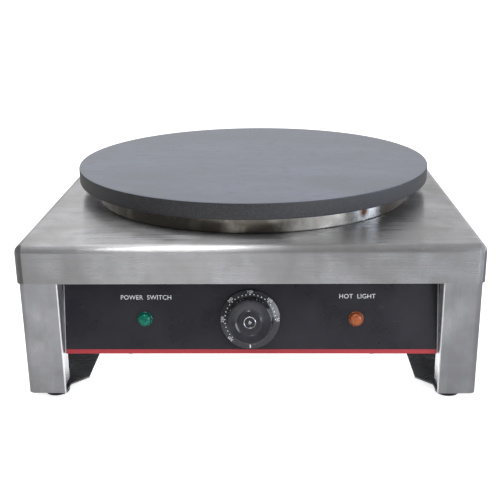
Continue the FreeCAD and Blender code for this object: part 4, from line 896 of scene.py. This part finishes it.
def makeFloor():
    deselectAll()
    bpy.ops.mesh.primitive_plane_add(size=studio["floorSize"], location=(0, 0, -0.0002))
    floor = bpy.context.object
    floor.name = "studio_floor"
    bpy.ops.object.transform_apply(location=True)
    material = bpy.data.materials.new("paleStudioFloor")
    material.use_nodes = True
    tree = material.node_tree
    tree.nodes.clear()
    path = addNode(tree, "LightPath").outputs
    place = addNode(tree, "TexCoord").outputs["Object"]
    # Painted pool of light on the floor, seen only by metal
    fromPaintedLightPool = addNode(tree, "VectorMath", {"operation": "DISTANCE", 0: place, 1: studio["paintedLightPool"]})
    inMetal = layered(tree, studio["paintedLightPoolInMetal"], studio["floorInMetal"], fromPaintedLightPool.outputs["Value"],
                      *studio["paintedLightPoolFade"])
    shade = addNode(tree, "Mix", {"data_type": "RGBA", 0: path["Is Glossy Ray"],
                                  6: studio["floorColour"], 7: inMetal})
    matt = addNode(tree, "BsdfDiffuse", {"Color": shade.outputs[2]})
    seen = addNode(tree, "Math", {"operation": "MAXIMUM", 0: path["Is Camera Ray"],
                                  1: path["Is Transmission Ray"]})
    seenGlow = addNode(tree, "Math", {"operation": "MULTIPLY", 0: seen.outputs[0],
                                      1: studio["floorGlow"]})
    bothGlow = addNode(tree, "Math", {"operation": "MULTIPLY_ADD", 0: path["Is Glossy Ray"],
                                      1: studio["glowInMetal"], 2: seenGlow.outputs[0]})
    glow = addNode(tree, "Emission", {"Color": "#ffffff", "Strength": bothGlow.outputs[0]})
    both = addNode(tree, "AddShader", {0: matt.outputs[0], 1: glow.outputs[0]})
    addNode(tree, "OutputMaterial", {"Surface": both.outputs[0]})
    floor.data.materials.append(material)


def makeWorld():
    # Even light for matt surfaces. Metal sees a white backdrop behind and a dimmer room elsewhere.
    world = bpy.data.worlds.new("studioWorld")
    bpy.context.scene.world = world
    world.use_nodes = True
    tree = world.node_tree
    tree.nodes.clear()
    path = addNode(tree, "LightPath").outputs
    way = addNode(tree, "SeparateXYZ", {0: addNode(tree, "TexCoord").outputs["Generated"]}).outputs
    backdrop = addNode(tree, "MapRange", {
        "Value": way["X"], "From Min": -0.5, "From Max": 0.5,
        "To Min": studio["backdropLeft"], "To Max": studio["backdropRight"]})
    walls = addNode(tree, "MapRange", {
        "Value": way["Y"], "From Min": 0, "From Max": 0.6,
        "To Min": studio["behindCamera"], "To Max": backdrop.outputs[0]})
    high = addNode(tree, "MapRange", {"Value": way["Z"], "From Min": 0.5, "From Max": 0.85})
    room = addNode(tree, "Mix", {"data_type": "FLOAT", 0: high.outputs[0], 2: walls.outputs[0],
                                 3: studio["ceiling"]})
    metal = addNode(tree, "Mix", {"data_type": "FLOAT", 0: path["Is Glossy Ray"],
                                  2: studio["open"], 3: room.outputs[0]})
    seen = addNode(tree, "Math", {"operation": "MAXIMUM", 0: path["Is Camera Ray"],
                                  1: path["Is Transmission Ray"]})
    shown = addNode(tree, "Mix", {"data_type": "FLOAT", 0: seen.outputs[0], 2: metal.outputs[0],
                                  3: 1.0})
    light = addNode(tree, "Background", {"Color": "#ffffff", "Strength": shown.outputs[0]})
    addNode(tree, "OutputWorld", {"Surface": light.outputs[0]})


lamps = {
    "overheadSoftbox": {"place": (-0.19, -0.66, 1.27), "target": (-0.08, -0.21, 0.16),
                        "width": 0.26, "height": 1.0, "power": 5.4},
    "windowOnTheRight": {"place": (1.25, -1.45, 0.5), "target": (0, -0.1, 0.12),
                         "width": 1.5, "height": 0.75, "power": 17, "colour": "#eff3fb"},
    "wallOnTheRight": {"place": (1.9, -0.15, 0.36), "target": (0, -0.1, 0.15),
                       "width": 0.8, "height": 0.6, "power": 10, "colour": "#dce8ff"},
    "bounceUnderneath": {"place": (0, 0, 0.003), "target": (0, 0, 1),
                         "width": 0.34, "height": 0.36, "power": 1.2, "shown": False},
    "ceilingBehind": {"place": (-0.4, 0.45, 1.3), "target": (-0.1, -0.1, 0.15),
                      "width": 0.6, "height": 0.6, "power": 1.6},
}


def addLamp(name, place, target, width, height, power, colour="#ffffff", shown=True):
    data = bpy.data.lights.new(name, "AREA")
    data.shape = "RECTANGLE"
    data.size, data.size_y, data.energy = width, height, power
    data.color = linear(colour)[:3]
    lamp = bpy.data.objects.new(name, data)
    bpy.context.scene.collection.objects.link(lamp)
    lamp.location = place
    lamp.rotation_euler = (Vector(target) - Vector(place)).to_track_quat("-Z", "Y").to_euler()
    lamp.visible_camera = shown


# Solved from the photograph, together with the body and the plate
view = {"place": (0.02134, -0.98577, 0.41322), "lens": 61.93, "sensor": 36,
        "pitch": 18.30, "yaw": -1.52, "roll": -0.65}


def makeCamera():
    data = bpy.data.cameras.new("photoCamera")
    data.lens, data.sensor_width = view["lens"], view["sensor"]
    data.clip_end = 200
    camera = bpy.data.objects.new("photoCamera", data)
    bpy.context.scene.collection.objects.link(camera)
    camera.matrix_world = (Matrix.Translation(view["place"])
                           @ Matrix.Rotation(radians(-view["yaw"]), 4, "Z")
                           @ Matrix.Rotation(radians(90 - view["pitch"]), 4, "X")
                           @ Matrix.Rotation(radians(view["roll"]), 4, "Z"))
    bpy.context.scene.camera = camera


makeFloor()
makeWorld()
for name, settings in lamps.items():
    addLamp(name, **settings)
makeCamera()
bpy.context.scene.view_settings.view_transform = "Standard"
print("studio made")

bpy.context.view_layer.update()
